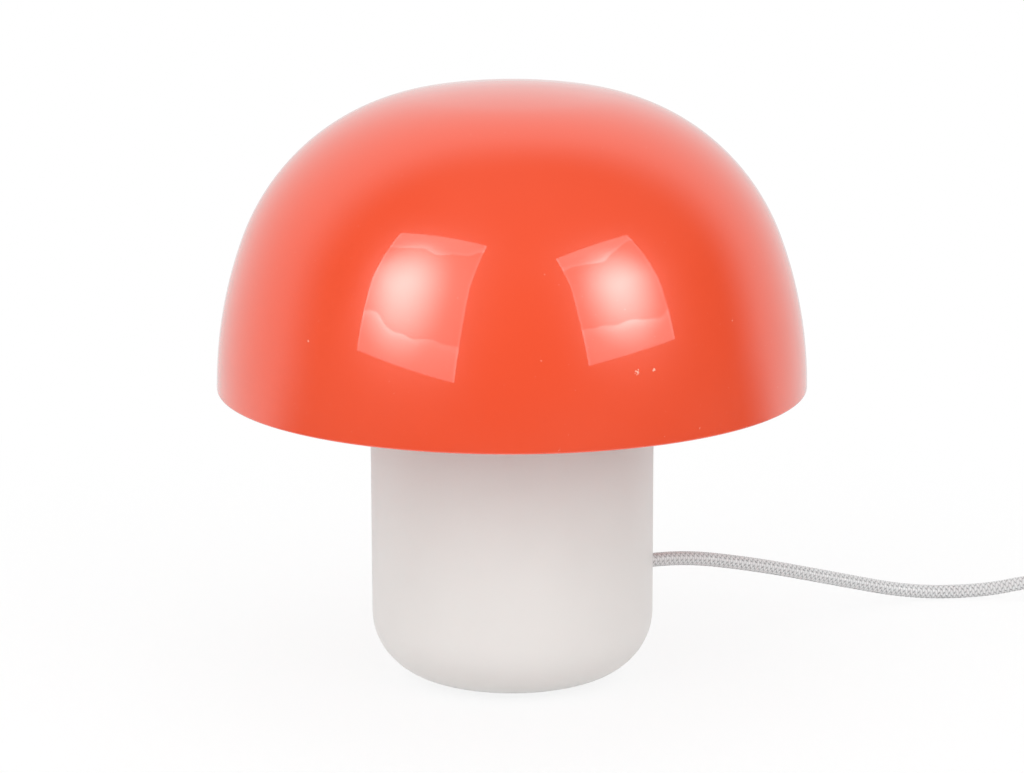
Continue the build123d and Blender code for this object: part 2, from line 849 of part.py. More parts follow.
rocker_pivot = switch_plane.from_local_coords(Vector(0, 0, rocker_pivot_height))
window = (rocker_length + 2 * window_end_gap, rocker_width + 2 * window_side_gap)
pivot_plane = Plane(origin=rocker_pivot, x_dir=switch_plane.x_dir, z_dir=-switch_plane.y_dir)
with BuildPart() as switch_cover:
    with BuildSketch(switch_plane.offset(switch_axis_height)):
        RectangleRounded(switch_length, switch_width, switch_round)
    extrude(amount=switch_height - switch_axis_height)
    fillet(switch_cover.edges().group_by(Axis.Z)[-1], switch_edge_above)
    with BuildSketch(switch_plane.offset(switch_axis_height)):
        RectangleRounded(*switch_cavity, switch_round - switch_wall)
    extrude(amount=switch_height - switch_axis_height - switch_wall, mode=Mode.SUBTRACT)
    with BuildSketch(switch_plane.offset(switch_height - switch_wall)):
        Rectangle(window[0] + 2 * window_frame, window[1] + 2 * window_frame)
    extrude(amount=-window_frame_depth)
    with BuildSketch(switch_plane.offset(switch_axis_height)):
        with Locations(*switch_bosses):
            Circle(switch_boss)
    extrude(amount=switch_height - switch_axis_height - switch_wall)
    with BuildSketch(switch_plane):
        Rectangle(*window)
    extrude(amount=2 * switch_height, mode=Mode.SUBTRACT)
    with BuildSketch(switch_plane):
        with Locations(*switch_bosses):
            Circle(switch_screw + slip_gap)
    extrude(amount=switch_axis_height + switch_screw_reach, mode=Mode.SUBTRACT)
    with BuildSketch(switch_end_plane):
        Circle(sleeve_neck + slip_gap)
    extrude(amount=switch_length, both=True, mode=Mode.SUBTRACT)
    with BuildSketch(pivot_plane):
        Circle(rocker_axle + slip_gap)
    extrude(amount=window[1] / 2 + window_frame, both=True, mode=Mode.SUBTRACT)
finish(switch_cover, "switch_cover")

# The rocker rests with its far end up, and its two faces meet at the pivot
tilt = radians(rocker_swing / 2)
rocker_course = switch_plane.x_dir * cos(tilt) + switch_plane.z_dir * sin(tilt)
rocker_plane = Plane(origin=rocker_pivot, x_dir=rocker_course, z_dir=-switch_plane.y_dir)
rocker_end = rocker_rise + rocker_length / 2 * tan(tilt)
with BuildPart() as switch_rocker:
    with BuildSketch(rocker_plane):
        with BuildLine():
            Polyline(
                (-rocker_length / 2, -rocker_depth),
                (-rocker_length / 2, rocker_end),
                (0, rocker_rise),
                (rocker_length / 2, rocker_end),
                (rocker_length / 2, -rocker_depth),
                (0, -2.5 * rocker_depth),
                close=True,
            )
        make_face()
    extrude(amount=rocker_width / 2, both=True)
    with BuildSketch(rocker_plane):
        Circle(rocker_axle)
    extrude(amount=window[1] / 2 + window_frame - seat_gap, both=True)
finish(switch_rocker, "switch_rocker")

with BuildPart() as switch_sleeves:
    for way in (-1, 1):
        end_plane = Plane(
            origin=on_switch(switch_reach / 2),
            x_dir=switch_plane.x_dir * way,
            z_dir=switch_plane.y_dir * -way,
        )
        inner = switch_length / 2 - switch_wall
        with BuildSketch(end_plane):
            with BuildLine():
                Polyline(
                    (inner - sleeve_flange_depth, 0),
                    (inner - sleeve_flange_depth, sleeve_flange),
                    (inner, sleeve_flange),
                    (inner, sleeve_neck),
                    (switch_length / 2, sleeve_neck),
                    (switch_length / 2, sleeve_root),
                    (switch_reach / 2, sleeve_end),
                    (switch_reach / 2, 0),
                    close=True,
                )
            make_face()
        revolve(axis=Axis(end_plane.origin, end_plane.x_dir))
finish(switch_sleeves, "switch_sleeves")

with BuildPart() as switch_screws:
    with BuildSketch(switch_plane.offset(head_room)):
        with Locations(*switch_bosses):
            Circle(switch_screw_head)
    extrude(amount=-switch_screw_head_height)
    with BuildSketch(switch_plane.offset(head_room)):
        with Locations(*switch_bosses):
            Circle(switch_screw)
    extrude(amount=switch_axis_height + switch_screw_reach - head_room - seat_gap)
finish(switch_screws, "switch_screws")

# Cord from the switch round to the coil
coil_east = (coil_centre[0] + coil_outer, coil_centre[1])
to_coil_route = [
    on_switch(switch_reach),
    on_switch(switch_reach + straight_from_switch),
    (393.0, 95.0, 5.5),
    (coil_east[0], 72.5, cord_radius),
    (coil_east[0], coil_east[1] + cord_diameter, cord_radius),
]
cord_to_coil = tube(to_coil_route, cord_radius, "cord_to_coil")
finish(cord_to_coil, "cord_to_coil")

# Coil: half turns on alternate centres, so that each turn lies one pitch inside the last.
# One half turn climbs to the upper layer, along two arcs that meet half way up.
upper_layer = cord_radius + coil_pitch
south = Vector(0, -1, 0)
with BuildPart() as cord_coil:
    with BuildLine() as winding:
        here = Vector(coil_east[0], coil_east[1], cord_radius)
        course = south
        Line(here - south * cord_diameter, here)
        for k in range(coil_half_turns_in + 1 + coil_half_turns_out):
            steps_in = min(k, 2 * coil_half_turns_in - k)
            width = 2 * coil_outer - steps_in * coil_pitch
            inwards = Vector(course.Y, -course.X, 0)
            if k == coil_half_turns_in:
                there = here + inwards * width + Vector(0, 0, upper_layer - cord_radius)
                half_way = (here + there) / 2 + course * ((there - here).length / 2)
                TangentArc(here, half_way, tangent=course)
                TangentArc(half_way, there, tangent=(there - here).normalized())
            else:
                there = here + inwards * width
                TangentArc(here, there, tangent=course)
            here = there
            course = course * -1
        Line(here, here + course * cord_diameter)
        coil_leaves = here + course * cord_diameter
    with BuildSketch(winding.line ^ 0):
        Circle(cord_radius)
    sweep(path=winding.line)
finish(cord_coil, "cord_coil")


def least_gap(path, step, apart):
    """The least distance between stretches of the path that lie at least `apart` along it."""
    count = int(path.length / step)
    line = [tuple(path.position_at(k / count)) for k in range(count + 1)]
    skip = int(apart / step)
    return min(dist(line[i], line[j]) for i in range(count) for j in range(i + skip, count + 1))


coil_path = winding.wire()
coil_swept = pi * cord_radius**2 * coil_path.length
print("cord_coil length", round(coil_path.length, 1))
print("cord_coil volume over section times length", round(cord_coil.part.volume / coil_swept, 5))
coil_gap = least_gap(coil_path, coil_check_step, coil_check_apart) - cord_diameter
print("cord_coil least gap to itself", round(coil_gap, 3))

# Cord from the coil to the plug
plug_axis_height = plug_thickness / 2
to_plug_route = [
    tuple(coil_leaves),
    (coil_leaves.X, coil_leaves.Y - straight_from_coil, coil_leaves.Z),
    (plug_axis[0], plug_axis[1] + straight_to_plug, plug_axis_height),
    (plug_axis[0], plug_axis[1], plug_axis_height),
]
cord_to_plug = tube(to_plug_route, cord_radius, "cord_to_plug")
finish(cord_to_plug, "cord_to_plug")

# Plug: sleeve, body, pins and their covers. It points towards -Y.
plug_place = (plug_axis[0], plug_axis[1] - plug_sleeve_length, plug_axis_height)
plug_plane = Plane(origin=plug_place, x_dir=(1, 0, 0), z_dir=(0, -1, 0))
with BuildPart() as plug_body:
    with BuildSketch(plug_plane):
        RectangleRounded(*plug_tail, plug_round)
    with BuildSketch(plug_plane.offset(plug_taper)):
        RectangleRounded(plug_width, plug_thickness, plug_round)
    loft(ruled=True)
    with BuildSketch(plug_plane.offset(plug_taper)):
        RectangleRounded(plug_width, plug_thickness, plug_round)
    extrude(amount=plug_length - plug_taper)
    fillet(plug_body.edges().group_by(Axis.Y)[0], plug_round * 0.3)
    with BuildSketch(plug_plane.offset(plug_length)):
        with GridLocations(pin_spacing, 0, 2, 1):
            Circle(pin_core_radius + slip_gap)
    extrude(amount=-plug_taper / 2, mode=Mode.SUBTRACT)
finish(plug_body, "plug_body")

sleeve_step = plug_sleeve_length / (2 * plug_sleeve_ribs)
sleeve_points = [(0, 0)]
for k in range(2 * plug_sleeve_ribs):
    share = k / (2 * plug_sleeve_ribs - 1)
    rib_radius = plug_sleeve_root + share * (plug_sleeve_end - plug_sleeve_root) - 0.6 * (k % 2)
    sleeve_points.append((rib_radius, -k * sleeve_step))
    sleeve_points.append((rib_radius, -(k + 1) * sleeve_step))
sleeve_points.append((0, -plug_sleeve_length))
with BuildPart() as plug_sleeve:
    with BuildSketch(Plane(origin=plug_place, x_dir=(1, 0, 0), z_dir=(0, 0, 1))):
        with BuildLine():
            Polyline(*[(out, -run) for out, run in sleeve_points], close=True)
        make_face()
    revolve(axis=Axis(plug_place, (0, 1, 0)))
finish(plug_sleeve, "plug_sleeve")

with BuildPart() as plug_pins:
    with BuildSketch(plug_plane.offset(plug_length + pin_cover_length)):
        with GridLocations(pin_spacing, 0, 2, 1):
            Circle(pin_radius)
    extrude(amount=pin_length - pin_cover_length)
    fillet(plug_pins.edges().group_by(Axis.Y)[0], pin_round)
    with BuildSketch(plug_plane.offset(plug_length + pin_cover_length)):
        with GridLocations(pin_spacing, 0, 2, 1):
            Circle(pin_core_radius)
    extrude(amount=-pin_cover_length - plug_taper / 2)
finish(plug_pins, "plug_pins")

with BuildPart() as pin_covers:
    with BuildSketch(plug_plane.offset(plug_length)):
        with GridLocations(pin_spacing, 0, 2, 1):
            Circle(pin_cover_radius)
            Circle(pin_core_radius + slip_gap, mode=Mode.SUBTRACT)
    extrude(amount=pin_cover_length)
finish(pin_covers, "pin_covers")
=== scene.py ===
import bmesh
import bpy
import numpy as np
from math import asin, atan2, ceil, cos, degrees, hypot, pi, radians, sin, sqrt
from mathutils import Matrix, Vector


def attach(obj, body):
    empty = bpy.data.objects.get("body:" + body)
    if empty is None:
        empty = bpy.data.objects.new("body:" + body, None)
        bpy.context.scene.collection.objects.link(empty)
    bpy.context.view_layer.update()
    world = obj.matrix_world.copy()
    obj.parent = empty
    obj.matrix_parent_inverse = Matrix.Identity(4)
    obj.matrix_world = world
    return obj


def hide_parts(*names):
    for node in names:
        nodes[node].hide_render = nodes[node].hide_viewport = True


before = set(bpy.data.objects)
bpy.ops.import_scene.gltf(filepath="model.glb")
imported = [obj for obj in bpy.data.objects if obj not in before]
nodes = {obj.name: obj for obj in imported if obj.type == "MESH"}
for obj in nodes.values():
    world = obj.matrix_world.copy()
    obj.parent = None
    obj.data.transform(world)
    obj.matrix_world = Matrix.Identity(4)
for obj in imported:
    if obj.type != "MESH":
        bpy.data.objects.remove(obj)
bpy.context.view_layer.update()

# Base shell: a deep-drawn steel can with a rounded foot and a rolled mouth, in satin white enamel.
# The enamel is sprayed, so it has a fine orange peel and a few cloudy patches.
MM = 0.001
base_radius = 60.25 * MM
base_height = 134.0 * MM
foot_round = 27.0 * MM
foot_lift = 1.0 * MM
can_wall = 1.5 * MM


def arc(centre, radius, start, stop, steps):
    """Points of an outline along an arc, angles in degrees."""
    turn = [radians(start + (stop - start) * k / steps) for k in range(steps + 1)]
    return [(centre[0] + radius * cos(a), centre[1] + radius * sin(a)) for a in turn]


def settle(mesh, sharp):
    """Merges doubles, turns the faces outwards and shades the mesh smooth but for its sharp edges."""
    work = bmesh.new()
    work.from_mesh(mesh)
    bmesh.ops.remove_doubles(work, verts=work.verts, dist=1e-6)
    bmesh.ops.dissolve_degenerate(work, edges=work.edges, dist=1e-7)
    bmesh.ops.recalc_face_normals(work, faces=work.faces)
    work.to_mesh(mesh)
    work.free()
    mesh.polygons.foreach_set("use_smooth", [True] * len(mesh.polygons))
    mesh.set_sharp_from_angle(angle=radians(sharp))
    mesh.update()


def place(mesh, material, body="lamp", stands_for=()):
    """Puts a finished mesh in the scene, on a body, in place of its CAD nodes."""
    piece = bpy.data.objects.new(mesh.name, mesh)
    bpy.context.scene.collection.objects.link(piece)
    if material is not None:
        mesh.materials.clear()
        mesh.materials.append(material)
    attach(piece, body)
    if stands_for:
        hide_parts(*stands_for)
    return piece


def turned(name, outline, steps=192, sharp=35, closed=True):
    """A mesh turned about the lamp's axis from an outline of (radius, height)."""
    turns = [2 * pi * k / steps for k in range(steps)]
    points = [(r * cos(a), r * sin(a), z) for r, z in outline for a in turns]
    rows = len(outline)
    pairs = [(i, (i + 1) % rows) for i in range(rows if closed else rows - 1)]
    faces = []
    for low, high in pairs:
        if outline[low][0] < 1e-9 and outline[high][0] < 1e-9:
            continue
        for k in range(steps):
            n = (k + 1) % steps
            faces.append((low * steps + k, low * steps + n, high * steps + n, high * steps + k))
    mesh = bpy.data.meshes.new(name)
    mesh.from_pydata(points, [], faces)
    settle(mesh, sharp)
    return mesh


def colour(code):
    """An sRGB hex colour as linear values."""
    parts = [int(code[i:i + 2], 16) / 255 for i in (0, 2, 4)]
    return (*[p / 12.92 if p <= 0.04045 else ((p + 0.055) / 1.055) ** 2.4 for p in parts], 1)


def add(tree, kind, feeds=None, **settings):
    """Adds a node with its settings. A feed is a value for an input, or the output that goes into it."""
    made = tree.nodes.new(kind)
    for key, value in settings.items():
        setattr(made, key, value)
    for key, value in (feeds or {}).items():
        if isinstance(value, bpy.types.NodeSocket):
            tree.links.new(value, made.inputs[key])
        else:
            made.inputs[key].default_value = value
    return made


def bare(name):
    """A new material with no nodes yet, and its tree."""
    made = bpy.data.materials.new(name)
    made.use_nodes = True
    made.node_tree.nodes.clear()
    return made, made.node_tree


def finish(name, tones, grain, roughness, relief=0.0, detail=4.0, **shader):
    """A finish whose tone and roughness wander with a noise of this grain in mm, over a fine relief."""
    made, tree = bare(name)
    where = add(tree, "ShaderNodeTexCoord").outputs["Object"]
    cloud = add(tree, "ShaderNodeTexNoise", {"Vector": where, "Scale": 1 / (grain * MM), "Detail": detail})
    tone = add(tree, "ShaderNodeMix", {"Factor": cloud.outputs["Fac"]}, data_type="RGBA")
    tone.inputs["A"].default_value = colour(tones[0])
    tone.inputs["B"].default_value = colour(tones[1])
    rough = add(tree, "ShaderNodeMapRange", {"Value": cloud.outputs["Fac"]})
    rough.inputs["From Min"].default_value = 0.3
    rough.inputs["From Max"].default_value = 0.7
    rough.inputs["To Min"].default_value = roughness[0]
    rough.inputs["To Max"].default_value = roughness[1]
    shade_with = add(tree, "ShaderNodeBsdfPrincipled", {"Roughness": rough.outputs["Result"]})
    tree.links.new(tone.outputs["Result"], shade_with.inputs["Base Color"])
    for key, value in shader.items():
        shade_with.inputs[key.replace("_", " ")].default_value = value
    if relief:
        fine = add(tree, "ShaderNodeTexNoise", {"Vector": where, "Scale": 3 / (grain * MM), "Detail": 3.0})
        bump = add(tree, "ShaderNodeBump", {"Height": fine.outputs["Fac"], "Distance": relief * MM})
        tree.links.new(bump.outputs["Normal"], shade_with.inputs["Normal"])
    add(tree, "ShaderNodeOutputMaterial", {"Surface": shade_with.outputs["BSDF"]})
    return made


def in_place(node, material, sharp=30, body="lamp"):
    """A merged copy of a CAD node stands for it, shaded smooth with its large flat faces kept flat."""
    mesh = nodes[node].data.copy()
    settle(mesh, sharp)
    seed = bpy.data.objects.new(node + "_seed", mesh)
    bpy.context.scene.collection.objects.link(seed)
    even = seed.modifiers.new("even_shading", "WEIGHTED_NORMAL")
    even.keep_sharp = True
    even.weight = 50
    shaded = bpy.data.meshes.new_from_object(seed.evaluated_get(bpy.context.evaluated_depsgraph_get()))
    bpy.data.objects.remove(seed)
    shaded.name = node + "_made"
    return place(shaded, material, body, [node])


satin_enamel = finish(
    "satin_enamel", ("E4E2DF", "EAE8E5"), 38, (0.34, 0.44), relief=0.012, detail=2.0,
    Coat_Weight=0.15, Coat_Roughness=0.35,
)
corner = (base_radius - foot_round, foot_lift + foot_round)
mouth = 0.75 * MM
base_outline = [(0, foot_lift)]
base_outline += arc(corner, foot_round, -90, 0, 40)
base_outline += arc((base_radius - mouth, base_height - mouth), mouth, 0, 180, 10)
base_outline += arc(corner, foot_round - can_wall, 0, -90, 24)
base_outline += [(0, foot_lift + can_wall)]
base_skin = turned("base_shell_skin", base_outline, 256, closed=False)
place(base_skin, satin_enamel, "lamp", ["base_shell"])

# Pad under the base: a punched disc of foam rubber, glued under the can's flat floor.
# The foam is matt and full of small cells.
foam = finish("foam_rubber", ("17171A", "232326"), 1.6, (0.85, 0.95), relief=0.15)
in_place("underside_pad", foam)

# Ballast: a cast-iron disc clamped by a nut on a stud that is welded to the floor of the can.
# The iron has a sandy cast skin; the small steel parts are zinc plated, with a faint mottled shine.
cast_iron = finish("cast_iron", ("2B2A29", "3B3937"), 2.5, (0.55, 0.75), relief=0.12, Metallic=0.7)
zinc_plate = finish("zinc_plate", ("A9ABAC", "C4C6C6"), 4.0, (0.25, 0.42), relief=0.01, Metallic=1.0)
in_place("ballast_weight", cast_iron)
for small in ("ballast_stud", "ballast_washer", "ballast_nut", "nipple_washer", "nipple_nut"):
    in_place(small, zinc_plate)
in_place("dish_brackets", zinc_plate)

# Dish: a shallow pressing in the can's mouth that carries the lampholder, enamelled with the can.
# Three cross-slotted screws hold it to the brackets.
dish_radius = 58.65 * MM
dish_wall = 1.2 * MM
dish_floor = 112.0 * MM
dish_under = dish_floor - dish_wall
dish_rim = 132.5 * MM
dish_round = 4.0 * MM
dish_corner = (dish_radius - dish_round, dish_under + dish_round)
tube_hole = 5.05 * MM
lip = dish_wall / 2
dish_outline = [(tube_hole, dish_under)]
dish_outline += arc(dish_corner, dish_round, -90, 0, 10)
dish_outline += arc((dish_radius - lip, dish_rim - lip), lip, 0, 180, 8)
dish_outline += arc(dish_corner, dish_round - dish_wall, 0, -90, 8)
dish_outline += [(tube_hole, dish_floor)]
place(turned("top_dish_skin", dish_outline), satin_enamel, "lamp", ["top_dish"])
in_place("dish_screws", zinc_plate)

# Threaded tube through the dish: zinc-plated steel, clamped by a washer and a nut below the dish.
# The holder cap is screwed down on its upper end, and the two cores run up inside it.
in_place("threaded_nipple", zinc_plate)

# Lampholder: cap, skirt and ring nut moulded in white thermoset, with a fired ceramic insert.
# The skirt has a coarse thread for the ring nut, and the ring nut has finger notches round its edge.
thermoset = finish("thermoset", ("E6E4DE", "EFEDE8"), 9, (0.28, 0.4), relief=0.02, Coat_Weight=0.2)
fired_ceramic = finish("fired_ceramic", ("DCD8CC", "EAE7DE"), 2.2, (0.6, 0.8), relief=0.05)
sheet_brass = finish("sheet_brass", ("B89047", "CFAA62"), 6, (0.2, 0.38), relief=0.01, Metallic=1.0)
cap_radius = 19.0 * MM
cap_top = 136.0 * MM
cap_wall = 2.4 * MM
cap_inside = cap_radius - cap_wall
neck_radius = 8.5 * MM
neck_top = dish_floor + 5.0 * MM
flare = cap_radius - neck_radius
cap_edge = 0.5 * MM
cap_ring = 0.35 * MM
cap_outline = [(tube_hole, dish_floor)]
cap_outline += arc((neck_radius - cap_edge, dish_floor + cap_edge), cap_edge, -90, 0, 4)
cap_outline += arc((neck_radius, neck_top + flare), flare, -90, 0, 20)
for ring_height in (125.5, 130.5, 134.0):
    cap_outline += arc((cap_radius, ring_height * MM), cap_ring, -90, -270, 6)
cap_outline += [(cap_radius, cap_top), (cap_inside, cap_top)]
cap_outline += arc((neck_radius, neck_top + flare), flare - cap_wall, 0, -90, 14)
cap_outline += [(tube_hole, neck_top + cap_wall)]
place(turned("holder_cap_moulded", cap_outline, 96), thermoset, "lamp", ["holder_cap"])
in_place("holder_insert", fired_ceramic)
in_place("centre_contact", sheet_brass)

shell_low = 145.0 * MM
shell_height = 17.0 * MM
shell_middle = 13.68 * MM
shell_wave = 0.2025 * MM
shell_sheet = 0.2 * MM
shell_ridges = 4
ridge_points = 12
shell_points = shell_ridges * ridge_points
shell_outline = []
for k in range(shell_points + 1):
    wave = shell_wave * cos(2 * pi * k / ridge_points)
    shell_outline.append((shell_middle + wave, shell_low + shell_height * k / shell_points))
inside_of_shell = [(r - shell_sheet, z) for r, z in reversed(shell_outline)]
screw_shell = turned("screw_shell_rolled", shell_outline + inside_of_shell, 96)
place(screw_shell, sheet_brass, "lamp", ["screw_shell"])

skirt_top = 168.0 * MM
skirt_radius = 19.1 * MM
skirt_inside = 17.3 * MM
skirt_mouth = 14.8 * MM
skirt_lip = 1.5 * MM
skirt_round = 0.8 * MM
skirt_edge = 0.4 * MM
flange_radius = 22.0 * MM
flange_top = 139.0 * MM
flange_turn = flange_radius - skirt_edge
skirt_outline = [(skirt_inside, cap_top), (flange_turn, cap_top)]
skirt_outline += arc((flange_turn, cap_top + skirt_edge), skirt_edge, -90, 0, 4)
skirt_outline += arc((flange_turn, flange_top - skirt_edge), skirt_edge, 0, 90, 4)
skirt_outline += [(skirt_radius, flange_top)]
skirt_outline += arc((skirt_radius - skirt_round, skirt_top - skirt_round), skirt_round, 0, 90, 6)
skirt_outline += [(skirt_mouth + skirt_edge, skirt_top)]
skirt_outline += arc((skirt_mouth + skirt_edge, skirt_top - skirt_edge), skirt_edge, 90, 180, 4)
skirt_outline += [(skirt_mouth, skirt_top - skirt_lip), (skirt_inside, skirt_top - skirt_lip)]
skirt = turned("holder_skirt_moulded", skirt_outline, 96)
place(skirt, thermoset, "lamp", ["holder_skirt"])


def thread(name, radius, depth, pitch, low, high, steps=48):
    """A ridge that winds up a cylinder, from one height to another, and dies away at both ends."""
    turns = (high - low) / pitch
    count = int(turns * steps)
    points, faces = [], []
    for k in range(count + 1):
        a = 2 * pi * k / steps
        z = low + (high - low) * k / count
        grow = depth * min(1, k / steps * 2, (count - k) / steps * 2)
        for out, rise in ((-0.3 * depth, -0.5), (grow, -0.12), (grow, 0.12), (-0.3 * depth, 0.5)):
            points.append(((radius + out) * cos(a), (radius + out) * sin(a), z + rise * pitch * 0.96))
        if k < count:
            b = 4 * k
            faces += [(b + j, b + 4 + j, b + 5 + j, b + 1 + j) for j in range(3)]
            faces.append((b + 3, b + 7, b + 4, b))
    faces += [(0, 1, 2, 3), tuple(4 * count + j for j in (3, 2, 1, 0))]
    mesh = bpy.data.meshes.new(name)
    mesh.from_pydata(points, [], faces)
    settle(mesh, 25)
    return mesh


thread_low = 141.5 * MM
thread_high = 165.0 * MM
skirt_thread = thread(
    "holder_skirt_thread", skirt_radius, depth=0.38 * MM, pitch=2.4 * MM, low=thread_low, high=thread_high,
)
place(skirt_thread, thermoset, "lamp")


def nut_tree():
    """Geometry nodes: a ring whose outer edge is notched all round."""
    tree = bpy.data.node_groups.new("ring_nut_form", "GeometryNodeTree")
    for label in ("Outer", "Inner", "Height", "Notch"):
        tree.interface.new_socket(label, in_out="INPUT", socket_type="NodeSocketFloat")
    tree.interface.new_socket("Count", in_out="INPUT", socket_type="NodeSocketInt")
    tree.interface.new_socket("Finish", in_out="INPUT", socket_type="NodeSocketMaterial")
    tree.interface.new_socket("Geometry", in_out="OUTPUT", socket_type="NodeSocketGeometry")
    given = add(tree, "NodeGroupInput").outputs
    edge_line = add(tree, "GeometryNodeCurvePrimitiveCircle", {"Resolution": 288, "Radius": given["Outer"]})
    at = add(tree, "GeometryNodeSplineParameter").outputs["Factor"]
    wave = add(tree, "ShaderNodeMath", {0: at, 1: given["Count"]}, operation="MULTIPLY")
    turn = add(tree, "ShaderNodeMath", {0: wave.outputs[0], 1: 2 * pi}, operation="MULTIPLY")
    dip = add(tree, "ShaderNodeMath", {0: turn.outputs[0]}, operation="COSINE")
    deep = add(
        tree, "ShaderNodeMapRange",
        {"Value": dip.outputs[0], "From Min": 0.45, "From Max": 1.0, "To Min": 0.0},
    )
    tree.links.new(given["Notch"], deep.inputs["To Max"])
    point = add(tree, "GeometryNodeInputPosition").outputs["Position"]
    outwards = add(tree, "ShaderNodeVectorMath", {0: point}, operation="NORMALIZE")
    less = add(tree, "ShaderNodeMath", {0: deep.outputs["Result"], 1: -1.0}, operation="MULTIPLY")
    shift = add(
        tree, "ShaderNodeVectorMath",
        {0: outwards.outputs[0], "Scale": less.outputs[0]}, operation="SCALE",
    )
    notched = add(
        tree, "GeometryNodeSetPosition",
        {"Geometry": edge_line.outputs["Curve"], "Offset": shift.outputs["Vector"]},
    )
    hole = add(tree, "GeometryNodeCurvePrimitiveCircle", {"Resolution": 96, "Radius": given["Inner"]})
    both = add(tree, "GeometryNodeJoinGeometry")
    tree.links.new(hole.outputs["Curve"], both.inputs["Geometry"])
    tree.links.new(notched.outputs["Geometry"], both.inputs["Geometry"])
    flat = add(tree, "GeometryNodeFillCurve", {"Curve": both.outputs["Geometry"]})
    flipped = add(tree, "GeometryNodeFlipFaces", {"Mesh": flat.outputs["Mesh"]})
    up = add(tree, "ShaderNodeCombineXYZ", {"Z": given["Height"]})
    tall = add(
        tree, "GeometryNodeExtrudeMesh",
        {
            "Mesh": flat.outputs["Mesh"], "Offset": up.outputs["Vector"],
            "Offset Scale": 1.0, "Individual": False,
        },
    )
    whole = add(tree, "GeometryNodeJoinGeometry")
    tree.links.new(flipped.outputs["Mesh"], whole.inputs["Geometry"])
    tree.links.new(tall.outputs["Mesh"], whole.inputs["Geometry"])
    weld = {"Geometry": whole.outputs["Geometry"], "Distance": 1e-6}
    welded = add(tree, "GeometryNodeMergeByDistance", weld)
    real = add(tree, "GeometryNodeRealizeInstances", {"Geometry": welded.outputs["Geometry"]})
    coat = {"Geometry": real.outputs["Geometry"], "Material": given["Finish"]}
    coated = add(tree, "GeometryNodeSetMaterial", coat)
    add(tree, "NodeGroupOutput", {"Geometry": coated.outputs["Geometry"]})
    return tree


def grown(name, tree, **sizes):
    """A plain mesh from a geometry-nodes tree and its named inputs."""
    seed = bpy.data.objects.new(name + "_seed", bpy.data.meshes.new(name + "_seed"))
    bpy.context.scene.collection.objects.link(seed)
    growth = seed.modifiers.new("growth", "NODES")
    growth.node_group = tree
    for item in tree.interface.items_tree:
        if item.in_out == "INPUT" and item.name in sizes:
            growth[item.identifier] = sizes[item.name]
    seen = seed.evaluated_get(bpy.context.evaluated_depsgraph_get())
    mesh = bpy.data.meshes.new_from_object(seen)
    mesh.name = name
    bpy.data.objects.remove(seed)
    return mesh


ring_nut = grown(
    "ring_nut_moulded", nut_tree(),
    Outer=27.0 * MM, Inner=19.55 * MM, Height=4.5 * MM, Notch=1.1 * MM, Count=18, Finish=thermoset,
)
ring_nut.transform(Matrix.Translation((0, 0, thread_low)))
settle(ring_nut, 30)
place(ring_nut, thermoset, "lamp", ["ring_nut"])

# Carrier: a stamped ring with three bent steel rods welded on, powder coated white.
# The shade rests on a soft pale rubber tip at the end of each rod.
powder_coat = finish("powder_coat", ("DAD9D6", "E3E2DF"), 1.1, (0.45, 0.6), relief=0.03)
soft_rubber = finish(
    "soft_rubber", ("C9C8C4", "D6D5D1"), 5, (0.5, 0.65), relief=0.02,
    Subsurface_Weight=0.2, Subsurface_Scale=0.002, Subsurface_Radius=(1, 1, 1),
)
in_place("shade_carrier", powder_coat)
in_place("carrier_tips", soft_rubber)

# Bulb: a small opal globe on a white collar, with a rolled nickel-plated screw cap.
# The cap ends in black glass round a soldered contact.
nickel_plate = finish("nickel_plate", ("B9B7B2", "CFCDC8"), 5, (0.16, 0.3), relief=0.01, Metallic=1.0)
black_glass = finish("black_glass", ("0B0B0C", "151517"), 3, (0.12, 0.2))
opal_glass = finish(
    "opal_glass", ("F4F3EF", "F8F7F4"), 30, (0.22, 0.28),
    Subsurface_Weight=0.6, Subsurface_Scale=0.006, Subsurface_Radius=(1, 1, 1), Coat_Weight=0.3,
)
collar_plastic = finish("collar_plastic", ("ECEBE8", "F2F1EE"), 8, (0.35, 0.45), relief=0.01)
in_place("bulb_cap", nickel_plate, body="bulb")
in_place("bulb_insulator", black_glass, body="bulb")
in_place("bulb_contact", sheet_brass, body="bulb")
in_place("bulb_collar", collar_plastic, body="bulb")
globe_radius = 22.5 * MM
globe_centre = 202.7 * MM
globe_wall = 1.2 * MM
seam_below_centre = 7.0 * MM
seam = degrees(asin(seam_below_centre / globe_radius))
globe_outline = arc((0, globe_centre), globe_radius, -seam, 90, 40)
globe_outline += arc((0, globe_centre), globe_radius - globe_wall, 90, -seam, 30)
place(turned("bulb_globe_blown", globe_outline, 128), opal_glass, "bulb", ["bulb_globe"])

# Bush and cores: a white nylon bush through the wall holds the cord, and two cores run on to the holder.
# Nylon is slightly waxy; the cores have brown and blue covers in life, and one finish here.
nylon = finish("nylon", ("DEDDD9", "E8E7E4"), 6, (0.32, 0.45), relief=0.015)
core_cover = finish("core_cover", ("5A3A28", "6B4732"), 3, (0.4, 0.5), relief=0.01)
in_place("cord_bush", nylon)
in_place("bush_nut", nylon)
in_place("core_wires", core_cover)

